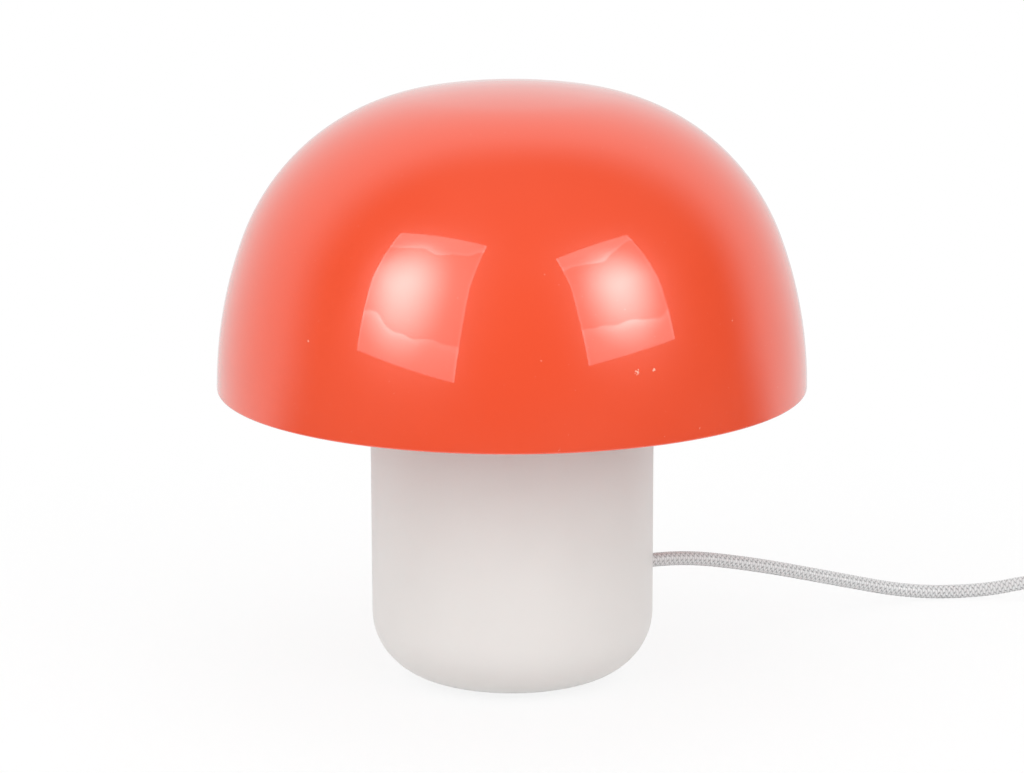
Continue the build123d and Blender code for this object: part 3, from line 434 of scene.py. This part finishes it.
# Cord: 1.79 m of two-core lead in a braided cover of shiny pale rayon, painted silver-grey where yarns dip
# under and at their edges as shade, and near white on the raised crossings as highlight.
# Twelve flat yarns wind round it, six each way, over one and under one, and the unseen length is coiled up.
cord_radius = 3.1 * MM
cord_pitch = 6.8 * MM
lying = 3.3 * MM
route = [
    (0.053215, 0.033252, 0.0385), (0.071024, 0.044381, 0.0385), (0.1069, 0.0668, 0.0286),
    (0.1460, 0.0907, 0.0148), (0.1830, 0.1075, 0.0033), (0.2170, 0.1100, 0.0033),
]
switch_x = 0.2565
switch_y = 0.1080
through_switch = (
    (-18, 8.5), (0, 8.5), (14, 8.5), (28, 5.8), (45, 5.3), (62, 5.8), (76, 8.5), (90, 8.5), (114, 8.5),
)
for along, height in through_switch:
    route.append((switch_x + along * MM, switch_y, height * MM))
route += [(0.3930, 0.0950, 0.0055), (0.4060, 0.0725, 0.0033), (0.4060, 0.0555, 0.0033)]
turn_end = 0.4060
coil_y = 0.0403
coil_wide = 0.0900
half_turns = 12
climbing_half = half_turns // 2
points_per_half = 6
for half in range(half_turns):
    steps_in = min(half, half_turns - half)
    width = coil_wide - steps_in * cord_pitch
    way = -1 if half % 2 == 0 else 1
    middle = turn_end + way * width / 2
    for k in range(points_per_half):
        turn = pi * (k + 0.5) / points_per_half
        climbed = min(1, max(0, half - climbing_half + (k + 0.5) / points_per_half))
        reach_out = width / 2 / cos(pi / (2 * points_per_half))
        route.append((
            middle - way * reach_out * cos(turn),
            coil_y + way * reach_out * sin(turn),
            lying + cord_pitch * climbed,
        ))
    turn_end += way * width
route += [(turn_end, 0.0303, 0.0099), (turn_end, 0.0211, 0.0099)]
route += [(0.4070, 0.0023, 0.00685), (0.4070, -0.0147, 0.00685)]

line = bpy.data.curves.new("cord_line", "CURVE")
line.dimensions = "3D"
spline = line.splines.new("NURBS")
spline.points.add(len(route) - 1)
for point, place_of_point in zip(spline.points, route):
    point.co = (*place_of_point, 1)
spline.order_u = 3
spline.use_endpoint_u = True
spline.resolution_u = 24
line_object = bpy.data.objects.new("cord_line", line)
bpy.context.scene.collection.objects.link(line_object)
bpy.context.view_layer.update()
line_mesh = bpy.data.meshes.new_from_object(line_object)
path = np.array([v.co for v in line_mesh.vertices])
bpy.data.objects.remove(line_object)


def evenly(points, step):
    """The same line with its points this far apart, and the run of each."""
    runs = np.concatenate([[0], np.cumsum(np.linalg.norm(np.diff(points, axis=0), axis=1))])
    count = int(ceil(runs[-1] / step))
    wanted = np.linspace(0, runs[-1], count + 1)
    return np.stack([np.interp(wanted, runs, points[:, i]) for i in range(3)], 1), wanted


def frames_along(points):
    """Two directions square to the line at each point, carried along it without a twist."""
    course = np.gradient(points, axis=0)
    course /= np.linalg.norm(course, axis=1)[:, None]
    across = np.zeros_like(course)
    first = np.cross(course[0], (0, 0, 1))
    across[0] = first / np.linalg.norm(first)
    for k in range(1, len(points)):
        moved = across[k - 1] - course[k] * np.dot(across[k - 1], course[k])
        across[k] = moved / np.linalg.norm(moved)
    return across, np.cross(course, across)


core_below = 0.55 * MM
yarn_half = 1.3 * MM
weave_depth = 0.2 * MM
yarn_below = 0.08 * MM
edge_drop = 0.14 * MM
yarn_sides = np.array([-1, 0, 1])
yarn_edges = np.abs(yarn_sides)


def braided(name, points_of_line, step=0.625 * MM, lead=15.0 * MM, carriers=6):
    """A tube with six flat yarns wound each way round it, each over one and under one."""
    points, runs = evenly(points_of_line, step)
    across, upwards = frames_along(points)
    corners, faces, weave_shade_levels = [], [], []

    def strip(radius_at, angle_at, shade_level_at, closed_ring):
        start = len(corners)
        wide = angle_at.shape[1]
        for i in range(len(points)):
            for j in range(wide):
                r, a = radius_at[i, j], angle_at[i, j]
                corners.append(points[i] + across[i] * r * cos(a) + upwards[i] * r * sin(a))
                weave_shade_levels.append(shade_level_at[i, j])
        for i in range(len(points) - 1):
            for j in range(wide if closed_ring else wide - 1):
                a, b = start + i * wide, start + (i + 1) * wide
                n = (j + 1) % wide
                faces.append((a + j, a + n, b + n, b + j))

    sides = 8
    ring = np.tile(2 * pi * np.arange(sides) / sides, (len(points), 1))
    # The core gets shading level 0, the darkest painted shade, where it shows between the yarns.
    strip(np.full_like(ring, cord_radius - core_below), ring, np.zeros_like(ring), True)
    for way in (-1, 1):
        weave = way * np.cos(2 * pi * carriers * runs / lead)[:, None]
        for carrier in range(carriers):
            middle = way * 2 * pi * runs / lead + 2 * pi * carrier / carriers
            angles = middle[:, None] + way * yarn_half / cord_radius * yarn_sides
            radii = cord_radius + weave_depth * weave - yarn_below - edge_drop * yarn_edges
            # Each yarn's third value is painted shading: lower where it dips under and at its edges, as
            # shade, and higher where it rides over, as highlight.
            strip(radii, angles, 0.5 + 0.5 * weave - 0.2 * yarn_edges, False)
    mesh = bpy.data.meshes.new(name)
    mesh.from_pydata(corners, [], faces)
    mesh.polygons.foreach_set("use_smooth", [True] * len(faces))
    # The painted shade and highlight go on the mesh as a point attribute.
    mark = mesh.attributes.new("painted_weave_shading", "FLOAT", "POINT")
    mark.data.foreach_set("value", weave_shade_levels)
    mesh.update()
    return mesh


rayon, weave_tree = bare("braided_rayon")
painted_weave_shading = add(weave_tree, "ShaderNodeAttribute", attribute_name="painted_weave_shading")
thread_place = add(weave_tree, "ShaderNodeTexCoord").outputs["Object"]
fibres = {"Vector": thread_place, "Scale": 1 / (0.5 * MM), "Detail": 2.0}
fibre = add(weave_tree, "ShaderNodeTexNoise", fibres)
mixed = add(weave_tree, "ShaderNodeMath", {0: fibre.outputs["Fac"], 1: 0.3}, operation="MULTIPLY")
shading_and_fibre = add(weave_tree, "ShaderNodeMath", {0: painted_weave_shading.outputs["Fac"], 1: mixed.outputs[0]}, operation="ADD")
# The ramp turns the painted shading, with a little real fibre noise, into grey for shade and near white for
# highlight.
tone = add(weave_tree, "ShaderNodeValToRGB", {"Fac": shading_and_fibre.outputs[0]})
tone.color_ramp.elements[0].color = colour("B6B7B9")
tone.color_ramp.elements[1].color = colour("F3F4F4")
satin_yarn = add(
    weave_tree, "ShaderNodeBsdfPrincipled",
    {"Base Color": tone.outputs["Color"], "Roughness": 0.24, "Specular IOR Level": 0.8},
)
add(weave_tree, "ShaderNodeOutputMaterial", {"Surface": satin_yarn.outputs["BSDF"]})
cord = place(
    braided("cord_braided", path), rayon, "lamp",
    ["cord_to_switch", "cord_to_coil", "cord_coil", "cord_to_plug"],
)
in_place("inner_lead", rayon)

# Tie: a strip of white hook-and-loop tape round all the turns of the coil.
# Its outside is brushed loops, matt and faintly fluffy.
loop_tape = finish("loop_tape", ("C9C9C8", "D6D6D5"), 0.6, (0.8, 0.95), relief=0.1, Sheen_Weight=0.4)
bend_below = 3.6 * MM
bend_above = 3.8 * MM
turns_below = 3.4 * MM
turns_above = 10.0 * MM
tape_line = arc((316.5 * MM, turns_below), bend_below, 180, 270, 6)
tape_line += arc((336.4 * MM, turns_below), bend_below, 270, 360, 6)
tape_line += arc((334.5 * MM, turns_above), bend_above, 10, 90, 8)
tape_line += arc((321.5 * MM, turns_above), bend_above, 90, 150, 6)
tape_half = 4.5 * MM
tape_wall = 0.6 * MM
ring_of_tape = np.array(tape_line)
heading_of_tape = np.roll(ring_of_tape, -1, 0) - np.roll(ring_of_tape, 1, 0)
out_of_tape = np.stack([heading_of_tape[:, 1], -heading_of_tape[:, 0]], 1)
out_of_tape /= np.linalg.norm(out_of_tape, axis=1)[:, None]
tape_points, tape_faces = [], []
for grow, beside in ((0, -1), (1, -1), (1, 1), (0, 1)):
    for (x, z), (out_x, out_z) in zip(ring_of_tape, out_of_tape):
        out = grow * tape_wall
        tape_points.append((x + out_x * out, coil_y + beside * tape_half, max(z + out_z * out, 0)))
around = len(tape_line)
for k in range(4):
    for j in range(around):
        n = (j + 1) % around
        low, high = k * around, (k + 1) % 4 * around
        tape_faces.append((low + j, low + n, high + n, high + j))
tape_mesh = bpy.data.meshes.new("coil_tie")
tape_mesh.from_pydata(tape_points, [], tape_faces)
settle(tape_mesh, 40)
place(tape_mesh, loop_tape, "lamp")

# Switch in the cord: two white moulded shells screwed together from below, with a rocker between.
# The sleeves at its ends are softer and taper to the cord.
moulded_white = finish("moulded_white", ("CBCAC8", "D4D3D1"), 14, (0.36, 0.46), relief=0.015)
soft_sleeve = finish("soft_sleeve", ("C4C3C1", "CCCBC9"), 5, (0.5, 0.62), relief=0.02)
in_place("switch_sleeves", soft_sleeve)
in_place("switch_base", moulded_white)
in_place("switch_cover", moulded_white)
in_place("switch_screws", zinc_plate)
in_place("switch_rocker", moulded_white, sharp=10, body="rocker")

# Plug: a flat two-pin plug moulded on the cord, with a ribbed sleeve, hollow brass pins and dark collars.
# The plastic is a little glossy; the pins are nickel plated.
collar_black = finish("collar_black", ("1B1B1D", "262628"), 3, (0.4, 0.5), relief=0.01)
in_place("plug_sleeve", soft_sleeve)
in_place("plug_body", moulded_white)
in_place("plug_pins", nickel_plate)
in_place("pin_covers", collar_black)

# Shade: a dome spun from sheet steel with its edge folded in, sprayed orange under a clear coat.
# The clear coat is wet-looking, with a slight orange peel, so lights show in it as soft-edged windows.
shade_radius = 125.0 * MM
shade_rise = 128.4 * MM
rim_height = 126.4 * MM
crown_arc = 226.7 * MM
shoulder_arc = 96.0 * MM
side_arc = 181.9 * MM

# The crown's centre is on the axis and the side's is level with the rim. The shoulder touches both arcs.
crown_centre = (0.0, rim_height + shade_rise - crown_arc)
side_centre = (shade_radius - side_arc, rim_height)
to_crown = crown_arc - shoulder_arc
to_side = side_arc - shoulder_arc
side_out, side_up = side_centre[0], rim_height - crown_centre[1]
apart = hypot(side_out, side_up)
towards_side = (to_crown**2 - to_side**2 + apart**2) / (2 * apart)
aside = sqrt(to_crown**2 - towards_side**2)
shoulder_out = (towards_side * side_out + aside * side_up) / apart
shoulder_up = (towards_side * side_up - aside * side_out) / apart
shoulder_centre = (shoulder_out, crown_centre[1] + shoulder_up)
crown_turn = degrees(atan2(shoulder_out, shoulder_up))
side_turn = degrees(atan2(shoulder_up - side_up, shoulder_out - side_out))


def dome(inset, steps):
    """The dome's outline from the crown to the rim, this far inside its outer skin."""
    made = arc(crown_centre, crown_arc - inset, 90, 90 - crown_turn, steps)[:-1]
    made += arc(shoulder_centre, shoulder_arc - inset, 90 - crown_turn, side_turn, steps * 2)[:-1]
    return made + arc(side_centre, side_arc - inset, side_turn, 0, steps)[:-1]


shade_wall = 1.0 * MM
hem = 2.2 * MM
hem_edge = hem / 2
hem_top = 4.0 * MM
hem_corner = 0.5 * MM
shade_outline = dome(0, 28)
shade_outline += arc((shade_radius - hem_edge, rim_height + hem_edge), hem_edge, 0, -180, 14)
corner_at = (shade_radius - hem + hem_corner, rim_height + hem_top - hem_corner)
shade_outline += arc(corner_at, hem_corner, 180, 90, 5)
over_hem = rim_height + hem_top + 0.2 * MM
shade_outline += [(r, z) for r, z in reversed(dome(shade_wall, 20)) if z > over_hem]
lacquer = finish(
    "orange_lacquer", ("EA4A22", "EE5029"), 60, (0.3, 0.36), relief=0.0, detail=1.5,
    Coat_Weight=1.0, Coat_Roughness=0.03, Coat_IOR=1.5,
)
lacquer_tree = lacquer.node_tree
on_dome = next(n for n in lacquer_tree.nodes if n.type == "TEX_COORD").outputs["Object"]
scratches = {"Vector": on_dome, "Scale": 1 / (0.9 * MM), "Detail": 2.0}
scratchy = add(lacquer_tree, "ShaderNodeTexNoise", scratches)
scuffs = (
    ((-81.4, -89.4, 164.7), 1.2), ((11.4, -120.7, 163.3), 0.9), ((49.3, -112.1, 156.9), 2.0),
    ((56.1, -108.8, 156.9), 1.5), ((88.3, -80.5, 170.7), 1.2), ((18.8, -123.6, 128.5), 1.1),
    ((74.9, -100.0, 131.2), 1.0),
)
worn = 0.0
for mark, size in scuffs:
    off_mark = add(
        lacquer_tree, "ShaderNodeVectorMath",
        {0: on_dome, 1: [part * MM for part in mark]}, operation="DISTANCE",
    )
    dot = add(
        lacquer_tree, "ShaderNodeMapRange",
        {"Value": off_mark.outputs["Value"], "From Max": size * MM, "To Min": 0.45, "To Max": 0.0},
    )
    more = add(lacquer_tree, "ShaderNodeMath", {0: dot.outputs["Result"], 1: worn}, operation="ADD")
    worn = more.outputs[0]
scuff = add(lacquer_tree, "ShaderNodeMath", {0: worn, 1: scratchy.outputs["Fac"]}, operation="ADD")
scuffed = add(
    lacquer_tree, "ShaderNodeMapRange", {"Value": scuff.outputs[0], "From Min": 0.75, "From Max": 0.87},
)
skin = next(n for n in lacquer_tree.nodes if n.type == "BSDF_PRINCIPLED")
sprayed = skin.inputs["Base Color"].links[0].from_socket
with_marks = add(lacquer_tree, "ShaderNodeMix", {"Factor": scuffed.outputs["Result"]}, data_type="RGBA")
lacquer_tree.links.new(sprayed, with_marks.inputs["A"])
with_marks.inputs["B"].default_value = colour("F7B5A0")
lacquer_tree.links.new(with_marks.outputs["Result"], skin.inputs["Base Color"])
place(turned("shade_spun", shade_outline, 384), lacquer, "shade", ["shade"])

# Studio floor: white paper, seen as plain white by the camera and in gloss, with a faint shade near the lamp.
# It lights the lamp from below and is clear from underneath. Nothing of the studio belongs to the lamp.
studio = bpy.data.collections.new("studio")
bpy.context.scene.collection.children.link(studio)


def prop(name, points, faces, material):
    """A piece of the studio."""
    mesh = bpy.data.meshes.new(name)
    mesh.from_pydata(points, [], faces)
    mesh.materials.append(material)
    mesh.polygons.foreach_set("use_smooth", [True] * len(mesh.polygons))
    made = bpy.data.objects.new(name, mesh)
    studio.objects.link(made)
    return made


def seen_rays(tree):
    """The kinds of ray, and 1 for a ray to the camera, in gloss or through glass."""
    kinds = add(tree, "ShaderNodeLightPath").outputs
    direct = add(
        tree, "ShaderNodeMath",
        {0: kinds["Is Camera Ray"], 1: kinds["Is Glossy Ray"]}, operation="MAXIMUM",
    )
    shown = add(
        tree, "ShaderNodeMath",
        {0: direct.outputs[0], 1: kinds["Is Transmission Ray"]}, operation="MAXIMUM",
    )
    return kinds, shown.outputs[0]


paper, paper_tree = bare("white_paper")
rays, seen_paper = seen_rays(paper_tree)
floor_place = add(paper_tree, "ShaderNodeTexCoord").outputs["Object"]
from_lamp = add(paper_tree, "ShaderNodeVectorMath", {0: floor_place}, operation="LENGTH")
away = add(
    paper_tree, "ShaderNodeMapRange",
    {"Value": from_lamp.outputs["Value"], "From Min": 0.12, "From Max": 0.5, "To Min": 0.86, "To Max": 1.0},
    interpolation_type="SMOOTHSTEP",
)
share = add(paper_tree, "ShaderNodeMath", {0: seen_paper, 1: away.outputs["Result"]}, operation="MULTIPLY")
matt = add(paper_tree, "ShaderNodeBsdfDiffuse", {"Color": colour("F8F8F8")})
glow = add(paper_tree, "ShaderNodeEmission", {"Color": (1, 1, 1, 1), "Strength": 1.0})
lit = add(paper_tree, "ShaderNodeMixShader", {0: share.outputs[0], 1: matt.outputs[0], 2: glow.outputs[0]})
below = add(paper_tree, "ShaderNodeNewGeometry").outputs["Backfacing"]
from_below = add(paper_tree, "ShaderNodeMath", {0: below, 1: rays["Is Camera Ray"]}, operation="MULTIPLY")
no_paper = add(paper_tree, "ShaderNodeBsdfTransparent")
sheet = add(
    paper_tree, "ShaderNodeMixShader",
    {0: from_below.outputs[0], 1: lit.outputs[0], 2: no_paper.outputs[0]},
)
add(paper_tree, "ShaderNodeOutputMaterial", {"Surface": sheet.outputs[0]})
far = 12.0
prop("floor", [(-far, -far, 0), (far, -far, 0), (far, far, 0), (-far, far, 0)], [(0, 1, 2, 3)], paper)

# Softboxes: sheets of white diffuser cloth over a lamp, with a hot spot, turned-in hems and creases.
# Gloss sees that picture of the cloth; the light that falls on the lamp is even.
softbox, box_tree = bare("softbox_cloth")
box_rays = add(box_tree, "ShaderNodeLightPath").outputs
on_cloth = add(box_tree, "ShaderNodeUVMap", uv_map="cloth").outputs["UV"]
from_hot = add(box_tree, "ShaderNodeUVMap", uv_map="glow").outputs["UV"]
hot = add(box_tree, "ShaderNodeVectorMath", {0: from_hot}, operation="LENGTH")
bright = add(
    box_tree, "ShaderNodeMapRange",
    {"Value": hot.outputs["Value"], "From Min": 0.0, "From Max": 0.52, "To Min": 11.8, "To Max": 2.1},
    interpolation_type="SMOOTHSTEP",
)
cloth_place = add(box_tree, "ShaderNodeTexCoord").outputs["Object"]
crooked = add(box_tree, "ShaderNodeTexNoise", {"Vector": cloth_place, "Scale": 1 / 0.45, "Detail": 1.5})
sway = add(box_tree, "ShaderNodeMapRange", {"Value": crooked.outputs["Fac"], "To Min": -0.2, "To Max": 0.2})
across_cloth = add(box_tree, "ShaderNodeSeparateXYZ", {0: on_cloth})
swayed = add(
    box_tree, "ShaderNodeMath", {0: across_cloth.outputs["Y"], 1: sway.outputs["Result"]}, operation="ADD",
)
folds = add(box_tree, "ShaderNodeValToRGB", {"Fac": swayed.outputs[0]})
fold_tones = (
    (0.15, "E4E4E4"), (0.20, "FFFFFF"), (0.21, "BABABA"), (0.5, "CCCCCC"),
    (0.85, "B8B8B8"), (0.86, "FFFFFF"), (0.91, "DEDEDE"),
)
ramp = folds.color_ramp.elements
ramp[1].color = colour("E4E4E4")
ramp[0].color = colour("D4D4D4")
for at, tint in fold_tones:
    ramp.new(at).color = colour(tint)
side = add(box_tree, "ShaderNodeMath", {0: across_cloth.outputs["X"], 1: 0.5}, operation="SUBTRACT")
off_side = add(box_tree, "ShaderNodeMath", {0: side.outputs[0]}, operation="ABSOLUTE")
hem_glow = add(
    box_tree, "ShaderNodeMapRange",
    {"Value": off_side.outputs[0], "From Min": 0.47, "From Max": 0.495, "To Min": 1.5, "To Max": 2.4},
)
cloth_light = add(
    box_tree, "ShaderNodeMath",
    {0: bright.outputs["Result"], 1: folds.outputs["Color"]}, operation="MULTIPLY",
)
picture = add(
    box_tree, "ShaderNodeMath",
    {0: cloth_light.outputs[0], 1: hem_glow.outputs["Result"]}, operation="MULTIPLY",
)
strength_of_box = add(
    box_tree, "ShaderNodeMix",
    {"Factor": box_rays["Is Glossy Ray"], "A": 2.5, "B": picture.outputs[0]}, data_type="FLOAT",
)
lamp_light = add(
    box_tree, "ShaderNodeEmission",
    {"Color": (1, 1, 1, 1), "Strength": strength_of_box.outputs["Result"]},
)
clear = add(box_tree, "ShaderNodeBsdfTransparent")
behind = add(box_tree, "ShaderNodeNewGeometry").outputs["Backfacing"]
hidden = add(box_tree, "ShaderNodeMath", {0: box_rays["Is Camera Ray"], 1: behind}, operation="MAXIMUM")
box_mix = add(
    box_tree, "ShaderNodeMixShader",
    {0: hidden.outputs[0], 1: lamp_light.outputs[0], 2: clear.outputs[0]},
)
add(box_tree, "ShaderNodeOutputMaterial", {"Surface": box_mix.outputs[0]})


def soft_light(name, hot_spot, top_left, top_right, bottom_right, bottom_left, steps=12):
    """A softbox between four corners, facing the lamp, its hot spot at this share of its sides."""
    tl, tr, br, bl = (np.array(p) for p in (top_left, top_right, bottom_right, bottom_left))
    points, faces, spots = [], [], []
    for i in range(steps + 1):
        for j in range(steps + 1):
            u, v = j / steps, i / steps
            points.append(tuple((1 - v) * ((1 - u) * tl + u * tr) + v * ((1 - u) * bl + u * br)))
            spots.append((u, 1 - v))
    for i in range(steps):
        for j in range(steps):
            a = i * (steps + 1) + j
            faces.append((a, a + 1, a + steps + 2, a + steps + 1))
    made = prop(name, points, faces, softbox)
    made.data.uv_layers.new(name="cloth")
    made.data.uv_layers.new(name="glow")
    for loop in made.data.loops:
        u, v = spots[loop.vertex_index]
        made.data.uv_layers["cloth"].data[loop.index].uv = (u, v)
        made.data.uv_layers["glow"].data[loop.index].uv = (u - hot_spot[0], v - hot_spot[1])
    to_lamp = Vector((0, 0, 0.15)) - Vector(points[len(points) // 2])
    if made.data.polygons[len(faces) // 2].normal.dot(to_lamp) < 0:
        made.data.flip_normals()


soft_light(
    "softbox_left", (0.36, 0.47),
    (-0.910, -0.490, 1.237), (-0.223, -0.954, 1.286), (-0.537, -1.396, 0.265), (-1.290, -0.737, 0.359),
)
soft_light(
    "softbox_right", (0.54, 0.47),
    (0.406, -1.036, 1.156), (0.948, -0.486, 1.206), (1.335, -0.636, 0.400), (0.708, -1.305, 0.361),
)

# Room side: the dark wall and floor of the studio in front of the lamp, past the white paper, and a painted
# shadow nearer in.
# They are seen only in the lamp's gloss, and fade out to the sides.
dark_side, dark_tree = bare("dark_room_side")
wall_place = add(dark_tree, "ShaderNodeTexCoord").outputs["Object"]
towards = add(dark_tree, "ShaderNodeVectorMath", {0: wall_place}, operation="NORMALIZE")
darkest_way = (0.12, -0.978, 0.17)
facing = add(
    dark_tree, "ShaderNodeVectorMath", {0: towards.outputs[0], 1: darkest_way}, operation="DOT_PRODUCT",
)
fade = add(
    dark_tree, "ShaderNodeMapRange",
    {"Value": facing.outputs["Value"], "From Min": -0.35, "From Max": 0.12, "To Min": 0.86, "To Max": 0.0},
    interpolation_type="SMOOTHSTEP",
)
# Painted shadow: from 0.14 m to 0.36 m off the lamp's axis, the dark grows over the paper in front. It stands
# for the lamp's shadow on the paper as seen in gloss. Within 0.14 m it is clear.
off = add(dark_tree, "ShaderNodeVectorMath", {0: wall_place}, operation="LENGTH")
painted_shadow_ramp = add(
    dark_tree, "ShaderNodeMapRange",
    {"Value": off.outputs["Value"], "From Min": 0.14, "From Max": 0.36, "To Min": 1.0, "To Max": 0.0},
    interpolation_type="SMOOTHSTEP",
)
open_part = add(
    dark_tree, "ShaderNodeMath",
    {0: fade.outputs["Result"], 1: painted_shadow_ramp.outputs["Result"]}, operation="MAXIMUM",
)
in_gloss = add(dark_tree, "ShaderNodeLightPath").outputs["Is Glossy Ray"]
not_glossy = add(dark_tree, "ShaderNodeMath", {0: 1.0, 1: in_gloss}, operation="SUBTRACT")
unseen = add(
    dark_tree, "ShaderNodeMath",
    {0: open_part.outputs[0], 1: not_glossy.outputs[0]}, operation="MAXIMUM",
)
dark = add(dark_tree, "ShaderNodeEmission", {"Color": colour("303030"), "Strength": 1.0})
through = add(dark_tree, "ShaderNodeBsdfTransparent")
dark_mix = add(
    dark_tree, "ShaderNodeMixShader",
    {0: unseen.outputs[0], 1: dark.outputs[0], 2: through.outputs[0]},
)
add(dark_tree, "ShaderNodeOutputMaterial", {"Surface": dark_mix.outputs[0]})
wall_points, wall_faces = [], []
columns = 48
over_paper = 0.8 * MM
wall_reach = 6.0
wall_line = [(reach, over_paper) for reach in (0.13, 0.25, 0.4, 0.7, 1.5, 3.5)]
wall_line += arc((0, over_paper), wall_reach, 0, 90, 24)
for reach, rise in wall_line:
    for j in range(columns):
        wall_points.append((reach * cos(2 * pi * j / columns), reach * sin(2 * pi * j / columns), rise))
for i in range(len(wall_line) - 1):
    for j in range(columns):
        n = (j + 1) % columns
        wall_faces.append((i * columns + j, i * columns + n, (i + 1) * columns + n, (i + 1) * columns + j))
prop("room_side", wall_points, wall_faces, dark_side)

# Room light: plain white to the camera, in gloss and through glass.
# To the lamp it is a soft light that grows from the sides to the ceiling.
world = bpy.data.worlds.new("studio_light")
bpy.context.scene.world = world
world.use_nodes = True
sky = world.node_tree
sky.nodes.clear()
seen_sky = seen_rays(sky)[1]
heading = add(sky, "ShaderNodeTexCoord").outputs["Generated"]
high = add(sky, "ShaderNodeSeparateXYZ", {0: heading})
upper = add(sky, "ShaderNodeMath", {0: high.outputs["Z"], 1: 2.0}, operation="POWER")
ceiling = add(sky, "ShaderNodeMapRange", {"Value": upper.outputs[0], "To Min": 0.38, "To Max": 1.36})
strength = add(
    sky, "ShaderNodeMix",
    {"Factor": seen_sky, "A": ceiling.outputs["Result"], "B": 1.0}, data_type="FLOAT",
)
white = add(sky, "ShaderNodeBackground", {"Color": (1, 1, 1, 1), "Strength": strength.outputs["Result"]})
add(sky, "ShaderNodeOutputWorld", {"Surface": white.outputs[0]})

# Camera: at the photograph's own place and height, with its lens and its slight tilt.
# Its focal length is kept in pixels, because it was fitted to the outline in the photograph.
focal_pixels = 3763.2
photo_width = 1024
eye = bpy.data.cameras.new("camera")
camera = bpy.data.objects.new("camera", eye)
bpy.context.scene.collection.objects.link(camera)
camera.location = (0.0, -1.558425, 0.482370)
ahead = Vector((0.0, 0.97476119, -0.22325012))
upward = Vector((0.00209439, 0.22324963, 0.97475906))
sideways = ahead.cross(upward).normalized()
upward = sideways.cross(ahead).normalized()
camera.rotation_mode = "QUATERNION"
camera.rotation_quaternion = Matrix((sideways, upward, -ahead)).transposed().to_quaternion()
eye.sensor_width = 36.0
eye.lens = focal_pixels / photo_width * eye.sensor_width
eye.clip_start = 0.05
eye.clip_end = 60.0
bpy.context.scene.camera = camera
bpy.context.scene.view_settings.view_transform = "Standard"
